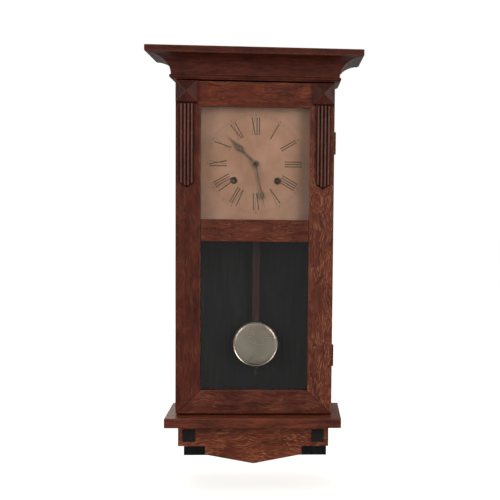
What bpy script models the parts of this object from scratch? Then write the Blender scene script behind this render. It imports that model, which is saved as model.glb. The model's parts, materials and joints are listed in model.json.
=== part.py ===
"""Pendulum wall clock with a mission style oak case, a mitred two-light door and a
two-train movement.  Metres, +Z up.  The origin is the hand axis on the wall plane,
the front faces -Y and +Y runs into the wall.

Lengths below are in millimetres and are turned into metres by the helpers.  A depth
is a distance from the wall, so a depth of 120 is y = -120.
"""
import math

import bmesh
import bpy
from mathutils import Matrix, Vector

MM = 0.001
GAP = 0.3

# case
CASE_HALF = 144.35
SIDE_THICK = 12.0
CASE_FRONT = 100.0
CASE_TOP = 204.8
BACK_HALF = 139.4
BACK_THICK = 12.0
BACK_BOTTOM = -568.3

# crown moulding: u is measured outwards from the moulding's flat back
CROWN_BACK_X = 144.65
CROWN_BACK_DEPTH = 115.65
CROWN_OUT = 49.85
CROWN_BOTTOM = 150.0
FASCIA_BOTTOM = 193.5

# shelf and apron
SHELF_HALF = 161.6
SHELF_TOP = -466.1
SHELF_THICK = 17.8
SHELF_FRONT = 152.7
APRON_FRONT = 120.8
APRON_THICK = 18.0
APRON_END_BOTTOM = -524.5
APRON_STEP_X = 89.6
APRON_STEP_Z = -540.4
APRON_TIP_Z = -557.2
STUD_SIDE = 22.7
STUD_X = 119.4
STUD_Z = -504.7

# door
DOOR_BACK = 100.6
DOOR_FRONT = 120.6
DOOR_TOP = 147.5
DOOR_BOTTOM = -463.3
LIGHT_HALF = 98.8
UPPER_LIGHT = (-102.7, 102.1)
LOWER_LIGHT = (-419.6, -143.1)
RABBET = 6.2
RABBET_FRONT = 112.6
GLASS = (109.9, 112.3)
BLOCK_X = (104.6, 143.8)
BLOCK_Z = (109.4, 147.2)
DROP_X = 124.2
REED_PITCH = 6.4
REEDS = 4

# hinges on the right edge
HINGE_X = 146.2
HINGE_DEPTH = 100.3
HINGE_Z = (40.0, -356.0)
HINGE_HALF = 19.0
KNUCKLE_R = 1.7
CATCH = (-138.3, -158.0)

# dial and hands
DIAL = (89.2, 90.0)
DIAL_HALF = (126.0, 112.0)
WINDING = (40.5, -31.0)
HOUR_ANGLE = 314.0
MINUTE_ANGLE = 168.0

# movement
PLATE_BACK = (38.0, 40.0)
PLATE_FRONT = (72.0, 74.0)
PLATE_HALF = 66.0
PLATE_Z = (-62.0, 62.0)
VERGE_Z = 44.0
ESCAPE_Z = 25.0
PILLAR_X = 58.0
PILLAR_Z = 54.0

# pendulum
PENDULUM_DEPTH = 32.0
BOB_Z = -344.2
BOB_R = 44.1
STICK_HALF = 7.5

GEARS = {
    # name: (teeth, module)
    "great": (60, 0.8),
    "great_pinion": (8, 0.8),
    "second": (60, 0.72),
    "centre_pinion": (8, 0.72),
    "centre": (72, 0.56),
    "third_pinion": (7, 0.56),
    "third": (66, 0.42),
    "escape_pinion": (7, 0.42),
    "pin": (48, 0.75),
    "fly_pinion": (7, 0.75),
    "cannon": (12, 1.0),
    "minute": (36, 1.0),
    "minute_pinion": (10, 0.96),
    "hour": (40, 0.96),
}

OAK = ("stained_oak", (0.115, 0.034, 0.020), 0.38, 0.0)
DARK = ("dark_board", (0.030, 0.014, 0.011), 0.6, 0.0)
EBONY = ("ebonised_wood", (0.014, 0.012, 0.011), 0.5, 0.0)
GLAZING = ("window_glass", (0.60, 0.66, 0.64), 0.05, 0.0)
PAINT = ("dial_enamel", (0.55, 0.41, 0.27), 0.5, 0.0)
BRASS = ("brass", (0.62, 0.42, 0.17), 0.3, 1.0)
OLD_BRASS = ("hinge_brass", (0.33, 0.22, 0.10), 0.42, 1.0)
STEEL = ("steel", (0.45, 0.45, 0.46), 0.35, 1.0)
BLUED = ("blued_steel", (0.020, 0.022, 0.035), 0.35, 1.0)
IRON = ("cast_iron", (0.05, 0.05, 0.05), 0.6, 0.9)
BOB_BRASS = ("bob_brass", (0.55, 0.44, 0.27), 0.3, 1.0)
STICK_WOOD = ("stick_wood", (0.09, 0.045, 0.033), 0.5, 0.0)


# ---------------------------------------------------------------- helpers

def clear_scene():
    for obj in list(bpy.data.objects):
        bpy.data.objects.remove(obj, do_unlink=True)


def new_collection(name):
    coll = bpy.data.collections.new(name)
    bpy.context.scene.collection.children.link(coll)
    return coll


def material(spec):
    name, colour, rough, metal = spec
    mat = bpy.data.materials.get(name)
    if mat is None:
        mat = bpy.data.materials.new(name)
        mat.use_nodes = True
        shader = mat.node_tree.nodes["Principled BSDF"]
        shader.inputs["Base Color"].default_value = (*colour, 1.0)
        shader.inputs["Roughness"].default_value = rough
        shader.inputs["Metallic"].default_value = metal
    return mat


def move_to(obj, coll):
    for old in list(obj.users_collection):
        old.objects.unlink(obj)
    coll.objects.link(obj)


def node(obj, name, spec):
    """Give a finished object its node name, its material and its collection."""
    obj.name = name
    obj.data.name = name
    obj.data.materials.clear()
    obj.data.materials.append(material(spec))
    move_to(obj, PARTS)
    return obj


def as_mesh(obj):
    """The evaluated object as a plain welded mesh, in world space."""
    graph = bpy.context.evaluated_depsgraph_get()
    mesh = bpy.data.meshes.new_from_object(obj.evaluated_get(graph))
    mesh.transform(obj.matrix_world)
    bm = bmesh.new()
    bm.from_mesh(mesh)
    bmesh.ops.remove_doubles(bm, verts=bm.verts, dist=1e-6)
    bmesh.ops.recalc_face_normals(bm, faces=bm.faces)
    bm.to_mesh(mesh)
    bm.free()
    bpy.data.objects.remove(obj, do_unlink=True)
    made = bpy.data.objects.new("solid", mesh)
    PARTS.objects.link(made)
    return made


def apply_scale(obj):
    obj.data.transform(Matrix.Diagonal((*obj.scale, 1.0)))
    obj.scale = (1.0, 1.0, 1.0)


def box(x, depth, z, bevel=0.0):
    """A block between two x, two depths and two z values."""
    centre = ((x[0] + x[1]) / 2 * MM, -(depth[0] + depth[1]) / 2 * MM, (z[0] + z[1]) / 2 * MM)
    bpy.ops.mesh.primitive_cube_add(size=1.0, location=centre)
    obj = bpy.context.object
    obj.scale = ((x[1] - x[0]) * MM, (depth[1] - depth[0]) * MM, (z[1] - z[0]) * MM)
    apply_scale(obj)
    if bevel:
        edge = obj.modifiers.new("edge", "BEVEL")
        edge.width = bevel * MM
        edge.segments = 1
    bpy.context.view_layer.update()
    return obj


def flat_curve(loops, half):
    """A filled 2D curve: the first loop is the outline and the others are holes."""
    curve = bpy.data.curves.new("outline", "CURVE")
    curve.dimensions = "2D"
    curve.fill_mode = "BOTH"
    curve.extrude = half * MM
    for loop in loops:
        spline = curve.splines.new("POLY")
        spline.points.add(len(loop) - 1)
        for point, (a, b) in zip(spline.points, loop):
            point.co = (a * MM, b * MM, 0.0, 1.0)
        spline.use_cyclic_u = True
    obj = bpy.data.objects.new("outline", curve)
    PARTS.objects.link(obj)
    return obj


def plate(loops, depth):
    """Outline in x and z, as thick as the two depths."""
    obj = flat_curve(loops, (depth[1] - depth[0]) / 2)
    obj.rotation_euler = (math.pi / 2, 0.0, 0.0)
    obj.location = (0.0, -(depth[0] + depth[1]) / 2 * MM, 0.0)
    bpy.context.view_layer.update()
    return as_mesh(obj)


def column(loops, z):
    """Outline in x and depth, standing between two z values."""
    turned_over = [[(a, -b) for a, b in loop] for loop in loops]
    obj = flat_curve(turned_over, (z[1] - z[0]) / 2)
    obj.location = (0.0, 0.0, (z[0] + z[1]) / 2 * MM)
    bpy.context.view_layer.update()
    return as_mesh(obj)


def beam(loops, x):
    """Outline in depth and z, lying between two x values."""
    turned_over = [[(-a, b) for a, b in loop] for loop in loops]
    obj = flat_curve(turned_over, (x[1] - x[0]) / 2)
    obj.matrix_world = Matrix(((0, 0, 1, (x[0] + x[1]) / 2 * MM), (1, 0, 0, 0), (0, 1, 0, 0), (0, 0, 0, 1)))
    bpy.context.view_layer.update()
    return as_mesh(obj)


def turned(profile, centre, segments=24, axis="Y"):
    """Screw a profile of (radius, height) pairs, listed from the top of the axis down.

    Heights on axis Y are depths; on axis Z they are z values.
    """
    mesh = bpy.data.meshes.new("profile")
    points = [(radius * MM, 0.0, height * MM) for radius, height in profile]
    mesh.from_pydata(points, [(i, i + 1) for i in range(len(points) - 1)], [])
    obj = bpy.data.objects.new("turned", mesh)
    PARTS.objects.link(obj)
    screw = obj.modifiers.new("turn", "SCREW")
    screw.axis = "Z"
    screw.steps = segments
    screw.render_steps = segments
    screw.use_merge_vertices = True
    screw.merge_threshold = 1e-6
    if axis == "Y":
        obj.rotation_euler = (math.pi / 2, 0.0, 0.0)
        obj.location = (centre[0] * MM, 0.0, centre[1] * MM)
    else:
        obj.location = (centre[0] * MM, -centre[1] * MM, 0.0)
    bpy.context.view_layer.update()
    return as_mesh(obj)


def rod(centre, radius, span, segments=16, axis="Y"):
    """A plain cylinder: along Y centre is (x, z), along Z it is (x, depth)."""
    low, high = span
    return turned([(0, high), (radius, high), (radius, low), (0, low)], centre, segments, axis)


def wire(points, radius, bends=2):
    """A round wire through (x, depth, z) points."""
    curve = bpy.data.curves.new("wire", "CURVE")
    curve.dimensions = "3D"
    curve.bevel_depth = radius * MM
    curve.bevel_resolution = bends
    curve.use_fill_caps = True
    spline = curve.splines.new("POLY")
    spline.points.add(len(points) - 1)
    for point, (x, depth, z) in zip(spline.points, points):
        point.co = (x * MM, -depth * MM, z * MM, 1.0)
    obj = bpy.data.objects.new("wire", curve)
    PARTS.objects.link(obj)
    bpy.context.view_layer.update()
    return as_mesh(obj)


def combine(target, tool, operation):
    """Boolean the tool into the target and keep the result as a mesh."""
    modifier = target.modifiers.new(operation.lower(), "BOOLEAN")
    modifier.operation = operation
    modifier.solver = "EXACT"
    modifier.object = tool
    bpy.context.view_layer.update()
    made = as_mesh(target)
    bpy.data.objects.remove(tool, do_unlink=True)
    return made


def fuse(*objs):
    made = objs[0]
    for other in objs[1:]:
        made = combine(made, other, "UNION")
    return made


def cut(target, *tools):
    """Leave live cuts on the target; the cutters stay in their own collection."""
    for tool in tools:
        move_to(tool, CUTTERS)
        tool.hide_render = True
        tool.display_type = "WIRE"
        modifier = target.modifiers.new("cut", "BOOLEAN")
        modifier.operation = "DIFFERENCE"
        modifier.solver = "EXACT"
        modifier.object = tool
    return target


def slice_off(obj, point, normal):
    """Cut a mesh object with a plane and throw away the side the normal points to."""
    bm = bmesh.new()
    bm.from_mesh(obj.data)
    geometry = bm.verts[:] + bm.edges[:] + bm.faces[:]
    bmesh.ops.bisect_plane(bm, geom=geometry, plane_co=Vector(point) * MM, plane_no=Vector(normal),
                           clear_outer=True, dist=1e-7)
    rim = [edge for edge in bm.edges if edge.is_boundary]
    bmesh.ops.holes_fill(bm, edges=rim, sides=0)
    bmesh.ops.recalc_face_normals(bm, faces=bm.faces)
    bm.to_mesh(obj.data)
    bm.free()
    return obj


def ring(centre, radius, count, start=0.0):
    step = 2 * math.pi / count
    return [(centre[0] + radius * math.cos(start + step * i), centre[1] + radius * math.sin(start + step * i))
            for i in range(count)]


def rectangle(x, z):
    return [(x[0], z[0]), (x[1], z[0]), (x[1], z[1]), (x[0], z[1])]


def smooth(obj, degrees=35.0):
    obj.data.shade_smooth()
    obj.data.set_sharp_from_angle(angle=math.radians(degrees))
    return obj


# ---------------------------------------------------------------- gears

def pitch_radius(kind):
    teeth, module = GEARS[kind]
    return teeth * module / 2


def reach(wheel, pinion):
    """Distance between the axes of a meshing pair."""
    return pitch_radius(wheel) + pitch_radius(pinion)


def gear_outline(kind, centre, phase):
    """Pointed wheel teeth or narrow pinion leaves, one of them centred on the angle phase."""
    teeth, module = GEARS[kind]
    radius = teeth * module / 2
    pitch = 2 * math.pi / teeth
    low, high = radius - 0.95 * module, radius + 0.5 * module
    if teeth > 12:
        corners = ((low, -0.5), (high, 0.0))
    else:
        corners = ((low, -0.2), (high, -0.08), (high, 0.08), (low, 0.2))
    points = []
    for i in range(teeth):
        for r, share in corners:
            turn = phase + (i + share) * pitch
            points.append((centre[0] + r * math.cos(turn), centre[1] + r * math.sin(turn)))
    return points


def toward(a, b):
    return math.atan2(b[1] - a[1], b[0] - a[0])


def mesh_phase(wheel_at, pinion_at, pinion_kind):
    """Tooth angles for a wheel and pinion: a wheel tooth faces a pinion space."""
    direction = toward(wheel_at, pinion_at)
    return direction, direction + math.pi + math.pi / GEARS[pinion_kind][0]


def third_corner(a, ra, b, rb, side):
    """The point at distance ra from a and rb from b."""
    span = math.dist(a, b)
    along = (ra * ra - rb * rb + span * span) / (2 * span)
    height = math.sqrt(ra * ra - along * along)
    ux, uz = (b[0] - a[0]) / span, (b[1] - a[1]) / span
    return (a[0] + along * ux - side * height * uz, a[1] + along * uz + side * height * ux)


CENTRE = (0.0, 0.0)
ESCAPE = (0.0, ESCAPE_Z)
VERGE = (0.0, VERGE_Z)
TIME_BARREL = (WINDING[0], WINDING[1])
STRIKE_BARREL = (-WINDING[0], WINDING[1])
SECOND = third_corner(CENTRE, reach("second", "centre_pinion"), TIME_BARREL, reach("great", "great_pinion"), 1)
PIN_WHEEL = (-SECOND[0], SECOND[1])
THIRD = third_corner(CENTRE, reach("centre", "third_pinion"), ESCAPE, reach("third", "escape_pinion"), 1)
FLY_ANGLE = math.radians(115.0)
FLY = (PIN_WHEEL[0] + reach("pin", "fly_pinion") * math.cos(FLY_ANGLE),
       PIN_WHEEL[1] + reach("pin", "fly_pinion") * math.sin(FLY_ANGLE))
MINUTE_WHEEL = (0.0, -reach("minute", "cannon"))
HAMMER = (-52.0, 14.0)


def clear_scene_and_start():
    clear_scene()
    return new_collection("pendulum_wall_clock"), new_collection("cutters")


PARTS, CUTTERS = clear_scene_and_start()


# ---------------------------------------------------------------- case

def side_outline(sign):
    """Plan of a case side with a rabbet for the back board."""
    outer = sign * CASE_HALF
    inner = sign * (CASE_HALF - SIDE_THICK)
    lip = sign * (BACK_HALF + GAP)
    step = BACK_THICK + GAP
    return [(outer, 0), (outer, CASE_FRONT), (inner, CASE_FRONT), (inner, step), (lip, step), (lip, 0)]


def build_case():
    back = box((-BACK_HALF, BACK_HALF), (0, BACK_THICK), (BACK_BOTTOM, CASE_TOP - 12.3))
    cut(back, box((-20.4, 20.4), (-1, 2.0), (141.6, 188.4)), box((-9, 9), (-1, 8), (152, 178)))
    node(back, "back_board", DARK)
    span = (SHELF_TOP + GAP, CASE_TOP - 12.3)
    left = column([side_outline(-1)], span)
    cut(left, rod(CATCH, 2.8, (85, 101), 12))
    node(left, "case_side_left", OAK)
    right = column([side_outline(1)], span)
    for z in HINGE_Z:
        cut(right, box((133.0, 146), (98.8, 101), (z - HINGE_HALF - GAP, z + HINGE_HALF + GAP)))
    node(right, "case_side_right", OAK)
    node(box((-CASE_HALF, CASE_HALF), (0, CROWN_BACK_DEPTH - GAP), (CASE_TOP - 12, CASE_TOP)), "case_top", OAK)


def crown_profile():
    """(u, z) pairs: bottom, bead, cove, fascia and top."""
    points = [(0, CROWN_BOTTOM), (7.4, CROWN_BOTTOM)]
    bead_u, bead_z, bead_r = 7.3, CROWN_BOTTOM + 5.0, 3.6
    for i in range(7):
        turn = math.radians(-80 + 160 * i / 6)
        points.append((bead_u + bead_r * math.cos(turn), bead_z + bead_r * math.sin(turn)))
    cove_u, cove_z = 8.3, 160.4
    points.append((cove_u, bead_z + bead_r + 0.6))
    width, rise = CROWN_OUT - 2.2 - cove_u, FASCIA_BOTTOM - 0.8 - cove_z
    for i in range(11):
        turn = math.radians(90 * i / 10)
        points.append((cove_u + width * (1 - math.cos(turn)), cove_z + rise * math.sin(turn)))
    points += [(CROWN_OUT - 2.2, FASCIA_BOTTOM), (CROWN_OUT - 0.6, FASCIA_BOTTOM), (CROWN_OUT, FASCIA_BOTTOM + 0.8)]
    points += [(CROWN_OUT, CASE_TOP - 1.0), (CROWN_OUT - 1.0, CASE_TOP), (0, CASE_TOP)]
    return points


def build_crown():
    profile = crown_profile()
    corner_x, corner_d = CROWN_BACK_X, CROWN_BACK_DEPTH
    front = beam([[(corner_d + u, z) for u, z in profile]], (-210, 210))
    for sign in (-1, 1):
        slice_off(front, (sign * (corner_x - 0.2), -corner_d, 0), (sign, 1, 0))
    node(front, "crown_front", OAK)
    for sign, name in ((-1, "crown_left"), (1, "crown_right")):
        mesh = plate([[(sign * (corner_x + u), z) for u, z in profile]], (0, 180))
        slice_off(mesh, (sign * (corner_x + 0.2), -corner_d, 0), (-sign, -1, 0))
        node(mesh, name, OAK)


def build_base():
    shelf = box((-SHELF_HALF, SHELF_HALF), (0, SHELF_FRONT), (SHELF_TOP - SHELF_THICK, SHELF_TOP), 1.0)
    notch = BACK_HALF + GAP
    cut(shelf, box((-notch, notch), (-5, BACK_THICK + GAP), (SHELF_TOP - 30, SHELF_TOP + 10)))
    node(shelf, "base_shelf", OAK)
    top = SHELF_TOP - SHELF_THICK - GAP
    left = [(-BACK_HALF, top), (-BACK_HALF, APRON_END_BOTTOM), (-APRON_STEP_X, APRON_END_BOTTOM),
            (-APRON_STEP_X, APRON_STEP_Z), (-2.5, APRON_TIP_Z + 0.35), (0, APRON_TIP_Z)]
    right = [(-x, z) for x, z in reversed(left[:-1])]
    apron = plate([left + right], (APRON_FRONT - APRON_THICK, APRON_FRONT))
    node(apron, "apron_board", OAK)
    behind = (BACK_THICK + GAP, APRON_FRONT - APRON_THICK - GAP)
    for sign, name in ((-1, "apron_return_left"), (1, "apron_return_right")):
        x = sorted((sign * (BACK_HALF - 12), sign * BACK_HALF))
        node(box(x, behind, (APRON_END_BOTTOM, top)), name, OAK)
    half = STUD_SIDE / 2
    face = (APRON_FRONT + GAP, APRON_FRONT + 2.5)
    for x, name in ((-STUD_X, "apron_stud_left"), (STUD_X, "apron_stud_right")):
        node(box((x - half, x + half), face, (STUD_Z - half, STUD_Z + half), 0.8), name, EBONY)


def build_hanger():
    slot = [(2.6 * math.cos(math.radians(a)), 176 + 2.6 * math.sin(math.radians(a))) for a in range(0, 181, 30)]
    slot += [(5.2 * math.cos(math.radians(a)), 162 + 5.2 * math.sin(math.radians(a))) for a in range(120, 421, 30)]
    holes = [ring((x, 148), 2.0, 10) for x in (-12, 12)]
    node(plate([rectangle((-20, 20), (142, 188)), slot] + holes, (0.3, 1.7)), "hanger_plate", STEEL)


# ---------------------------------------------------------------- door

def frame_profile(width):
    """(u, depth) pairs of a door member: u runs from its outer edge inwards."""
    inner = width - RABBET
    return [(0, DOOR_BACK), (inner, DOOR_BACK), (inner, RABBET_FRONT), (width, RABBET_FRONT),
            (width, DOOR_FRONT - 2.0), (width - 0.6, DOOR_FRONT - 0.6), (width - 2.0, DOOR_FRONT),
            (1.0, DOOR_FRONT), (0, DOOR_FRONT - 1.0)]


def mitre(obj, sign_x, sign_z, outer_z, inner_z, kept):
    """Slice a member along the line from the door's corner to the corner of the light."""
    across = CASE_HALF - LIGHT_HALF
    along = abs(outer_z - inner_z)
    toward_rail = Vector((-along * sign_x, 0, across * sign_z)).normalized()
    away = toward_rail if kept == "stile" else -toward_rail
    point = Vector((sign_x * CASE_HALF, 0, outer_z)) - away * (GAP / 2)
    slice_off(obj, point, away)


def build_door():
    stile = frame_profile(CASE_HALF - LIGHT_HALF)
    for sign, name in ((-1, "door_stile_left"), (1, "door_stile_right")):
        obj = column([[(sign * (CASE_HALF - u), d) for u, d in stile]], (DOOR_BOTTOM, DOOR_TOP))
        mitre(obj, sign, 1, DOOR_TOP, UPPER_LIGHT[1], "stile")
        mitre(obj, sign, -1, DOOR_BOTTOM, LOWER_LIGHT[0], "stile")
        if sign == 1:
            for z in HINGE_Z:
                cut(obj, box((133.0, 146), (99, 101.8), (z - HINGE_HALF - GAP, z + HINGE_HALF + GAP)))
        else:
            cut(obj, rod(CATCH, 2.7, (99, 102.6), 12))
        node(obj, name, OAK)
    rails = (("door_rail_top", 1, DOOR_TOP, UPPER_LIGHT[1]), ("door_rail_bottom", -1, DOOR_BOTTOM, LOWER_LIGHT[0]))
    for name, sign, outer, inner in rails:
        profile = frame_profile(abs(outer - inner))
        obj = beam([[(d, outer - sign * u) for u, d in profile]], (-CASE_HALF, CASE_HALF))
        for side in (-1, 1):
            mitre(obj, side, sign, outer, inner, "rail")
        node(obj, name, OAK)
    low, high = LOWER_LIGHT[1], UPPER_LIGHT[0]
    face = box((-LIGHT_HALF + GAP, LIGHT_HALF - GAP), (RABBET_FRONT, DOOR_FRONT), (low, high), 0.8)
    back_half = LIGHT_HALF + RABBET - GAP
    tongue = box((-back_half, back_half), (DOOR_BACK, RABBET_FRONT - GAP), (low + RABBET, high - RABBET))
    core = (-LIGHT_HALF + 4, LIGHT_HALF - 4)
    web = box(core, (RABBET_FRONT - 3, RABBET_FRONT + 3), (low + RABBET + 1, high - RABBET - 1))
    node(fuse(as_mesh(face), tongue, web), "door_rail_middle", OAK)


def build_glazing():
    """Each pane lies in the rabbet with a thin wooden stop frame behind it."""
    half = LIGHT_HALF + RABBET - 0.7
    for name, (low, high) in (("upper", UPPER_LIGHT), ("lower", LOWER_LIGHT)):
        low, high = low - RABBET + 0.7, high + RABBET - 0.7
        node(box((-half, half), GLASS, (low, high)), "glass_" + name, GLAZING)
        hole = rectangle((-half + 5, half - 5), (low + 5, high - 5))
        stop = plate([rectangle((-half, half), (low, high)), hole], (GLASS[0] - 5.3, GLASS[0] - GAP))
        node(stop, "glass_stop_" + name, OAK)


def build_ornaments():
    for sign, side in ((-1, "left"), (1, "right")):
        x = sorted(sign * value for value in BLOCK_X)
        block = box(x, (DOOR_FRONT + GAP, 127.4), BLOCK_Z)
        bm = bmesh.new()
        bm.from_mesh(block.data)
        front = min(bm.faces, key=lambda face: face.calc_center_median().y)
        bmesh.ops.inset_region(bm, faces=[front], thickness=1.6 * MM)
        poke = bmesh.ops.poke(bm, faces=[front])
        poke["verts"][0].co.y -= 6.0 * MM
        bm.to_mesh(block.data)
        bm.free()
        node(as_mesh(block), "corner_block_" + side, OAK)
        node(build_drop(sign * DROP_X), "reeded_drop_" + side, OAK)


def build_drop(middle):
    """Four half-round reeds on a thin ground, ending in a low point."""
    half = REEDS * REED_PITCH / 2
    ground = DOOR_FRONT + GAP
    plan = [(middle - half, ground), (middle + half, ground)]
    for reed in range(REEDS):
        centre = middle + half - (reed + 0.5) * REED_PITCH
        for i in range(7):
            turn = math.radians(8 + 164 * i / 6)
            plan.append((centre + REED_PITCH / 2 * math.cos(turn), ground + 2.4 + 3.4 * math.sin(turn)))
    drop = column([plan], (-48.0, BLOCK_Z[0] - 3.6))
    for sign in (-1, 1):
        slice_off(drop, (middle, -ground - 1.5, -45.0), (sign * 0.62, -0.55, -1.0))
    return drop


def knuckle(z, stub_depth, stub_end):
    """A hinge knuckle with a short tongue of its leaf."""
    near, far = stub_depth
    points = [(stub_end, near), (stub_end, far)]
    start = math.atan2(far - HINGE_DEPTH, -math.sqrt(KNUCKLE_R ** 2 - (far - HINGE_DEPTH) ** 2))
    finish = math.atan2(near - HINGE_DEPTH, -math.sqrt(KNUCKLE_R ** 2 - (near - HINGE_DEPTH) ** 2))
    if far > near:
        sweep = (finish - start) % (2 * math.pi)
        sweep = sweep - 2 * math.pi if sweep < math.pi else -(2 * math.pi - sweep)
    for i in range(11):
        turn = start + sweep * i / 10
        points.append((HINGE_X + KNUCKLE_R * math.cos(turn), HINGE_DEPTH + KNUCKLE_R * math.sin(turn)))
    return column([points, ring((HINGE_X, HINGE_DEPTH), 0.95, 8)], z)


def build_hinges():
    """Butt hinges; the pin is riveted into the case leaf's two knuckles."""
    for z, level in zip(HINGE_Z, ("upper", "lower")):
        span = (z - HINGE_HALF, z + HINGE_HALF)
        case_depth, door_depth = (99.1, 100.0), (100.6, 101.5)
        leaf = as_mesh(box((133.4, 144.2), case_depth, span))
        for part in ((z - HINGE_HALF, z - 6.7), (z + 6.7, z + HINGE_HALF)):
            leaf = fuse(leaf, knuckle(part, case_depth, 142.0))
        top, low = z + HINGE_HALF, z - HINGE_HALF
        pin = [(0, top + 2.0), (1.2, top + 1.6), (1.6, top - 0.1), (0.6, top - 0.1),
               (0.6, low + 0.1), (1.6, low + 0.1), (1.2, low - 1.6), (0, low - 2.0)]
        leaf = fuse(leaf, turned(pin, (HINGE_X, HINGE_DEPTH), 8, "Z"))
        node(leaf, "hinge_case_leaf_" + level, OLD_BRASS)
        leaf = as_mesh(box((133.4, 144.2), door_depth, span))
        leaf = fuse(leaf, knuckle((z - 6.4, z + 6.4), door_depth, 142.0))
        node(leaf, "hinge_door_leaf_" + level, OLD_BRASS)
    tip = [(0, 101.6), (1.1, 101.4), (1.9, 100.8), (2.1, 99.9), (2.1, 97.6), (2.5, 97.4), (2.5, 87.0), (0, 87.0)]
    node(smooth(turned(tip, CATCH, 12)), "catch_plunger", BRASS)


# ---------------------------------------------------------------- dial and hands

def build_dial():
    outer = rectangle((-DIAL_HALF[0], DIAL_HALF[0]), (-DIAL_HALF[1], DIAL_HALF[1]))
    holes = [ring(CENTRE, 6.0, 20)]
    holes += [ring((sign * WINDING[0], WINDING[1]), 5.1, 20) for sign in (-1, 1)]
    spots = [(sign_x * 119.0, sign_z * 104.0) for sign_x in (-1, 1) for sign_z in (-1, 1)]
    holes += [ring(spot, 1.9, 8) for spot in spots]
    node(plate([outer] + holes, DIAL), "dial_plate", PAINT)
    inner = CASE_HALF - SIDE_THICK - GAP
    hole = rectangle((-110, 110), (-98, 98))
    frame = plate([rectangle((-inner, inner), (-116, 116)), hole], (76.0, DIAL[0] - GAP))
    cut(frame, *[rod(spot, 1.9, (78.0, 92.0), 8) for spot in spots])
    node(frame, "dial_frame", DARK)


def hand_outline(angle, shape):
    """Mirror (across, along) pairs about the hand's axis and turn them clockwise from 12."""
    full = shape + [(-across, along) for across, along in reversed(shape) if across > 0]
    turn = math.radians(angle)
    return [(across * math.cos(turn) + along * math.sin(turn), along * math.cos(turn) - across * math.sin(turn))
            for across, along in full]


def boss(radius, count=24):
    return [(radius * math.sin(2 * math.pi * i / count), radius * math.cos(2 * math.pi * i / count))
            for i in range(count)]


def build_hands():
    hour = [(0, 71.5), (0.55, 66.0), (0.95, 56.0), (1.5, 52.8), (3.9, 48.4), (5.7, 43.6), (5.7, 39.8), (4.4, 36.0),
            (2.4, 33.4), (1.5, 31.6), (1.9, 12.0), (2.2, 6.2), (4.0, 5.6), (6.0, 3.6), (6.8, 0.0), (6.0, -3.6),
            (4.0, -5.6), (0, -6.8)]
    minute = [(0, 84.0), (0.5, 78.0), (0.85, 69.6), (1.4, 66.8), (3.3, 63.2), (4.1, 59.8), (3.6, 56.4), (2.1, 53.8),
              (1.3, 52.4), (1.6, 12.0), (1.9, 5.8), (3.6, 5.0), (5.2, 3.2), (6.0, 0.0), (5.2, -3.2),
              (3.6, -5.0), (0, -6.0)]
    node(plate([hand_outline(HOUR_ANGLE, hour), boss(5.3)], (92.2, 93.3)), "hour_hand", BLUED)
    node(plate([hand_outline(MINUTE_ANGLE, minute), boss(3.3, 16)], (95.2, 96.3)), "minute_hand", BLUED)
    nut = [(0, 100.0), (2.6, 99.4), (3.6, 98.0), (3.6, 96.7), (1.8, 96.7), (1.8, 98.0), (0, 98.0)]
    node(smooth(turned(nut, CENTRE, 12)), "hand_nut", BRASS)


# ---------------------------------------------------------------- movement

def build_plates():
    outline = rectangle((-PLATE_HALF, PLATE_HALF), PLATE_Z)
    pivots = [TIME_BARREL, STRIKE_BARREL, SECOND, PIN_WHEEL, THIRD, ESCAPE, FLY, HAMMER, CENTRE, VERGE]
    large = (TIME_BARREL, STRIKE_BARREL)
    back = [ring(at, 2.7 if at in large else 1.4, 8) for at in pivots if at != VERGE]
    back.append(ring(VERGE, 2.2, 8))
    front = [ring(at, 4.6 if at in large else 1.4, 8) for at in pivots if at != CENTRE]
    front.append(ring(CENTRE, 1.9, 8))
    posts = [(x, z) for x in (-PILLAR_X, PILLAR_X) for z in (-PILLAR_Z, PILLAR_Z)]
    stud = turned([(0, 83.0), (3.0, 82.8), (3.0, 81.4), (1.6, 81.4), (1.6, 73.0), (0, 73.0)], MINUTE_WHEEL, 12)
    node(fuse(plate([outline] + front, PLATE_FRONT), stud), "movement_front_plate", BRASS)
    foot, low, high = BACK_THICK + GAP, PLATE_BACK[1] + GAP, PLATE_FRONT[0] - GAP
    shape = [(0, high), (3.2, high), (3.2, low), (4.2, low), (4.2, foot + 3), (8.0, foot + 2), (8.0, foot), (0, foot)]
    pillars = [turned(shape, post, 10) for post in posts]
    rear = plate([outline] + back, PLATE_BACK)
    node(fuse(rear, *suspension_cock(), *pillars), "movement_back_plate", BRASS)


def suspension_cock():
    """A post riveted to the back plate, with the jaw that holds the suspension spring."""
    post = box((-7, 7), (28.6, 38.5), (49, 58), 0.6)
    jaw = box((-4, 4), (28.6, 34.8), (VERGE_Z + 0.4, 50))
    return as_mesh(post), as_mesh(jaw)


def arbor(at, back_pivot, front_pivot, radius=1.4):
    """A shaft between the plates with a thinner pivot in each of them."""
    low, high = PLATE_BACK[1] + GAP, PLATE_FRONT[0] - GAP
    shape = [(0, high + 2.0)] if front_pivot else [(0, high)]
    if front_pivot:
        shape += [(front_pivot, high + 2.0), (front_pivot, high)]
    shape += [(radius, high), (radius, low)]
    if back_pivot:
        shape += [(back_pivot, low), (back_pivot, low - 2.0), (0, low - 2.0)]
    else:
        shape += [(0, low)]
    return turned(shape, at, 8)


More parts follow.
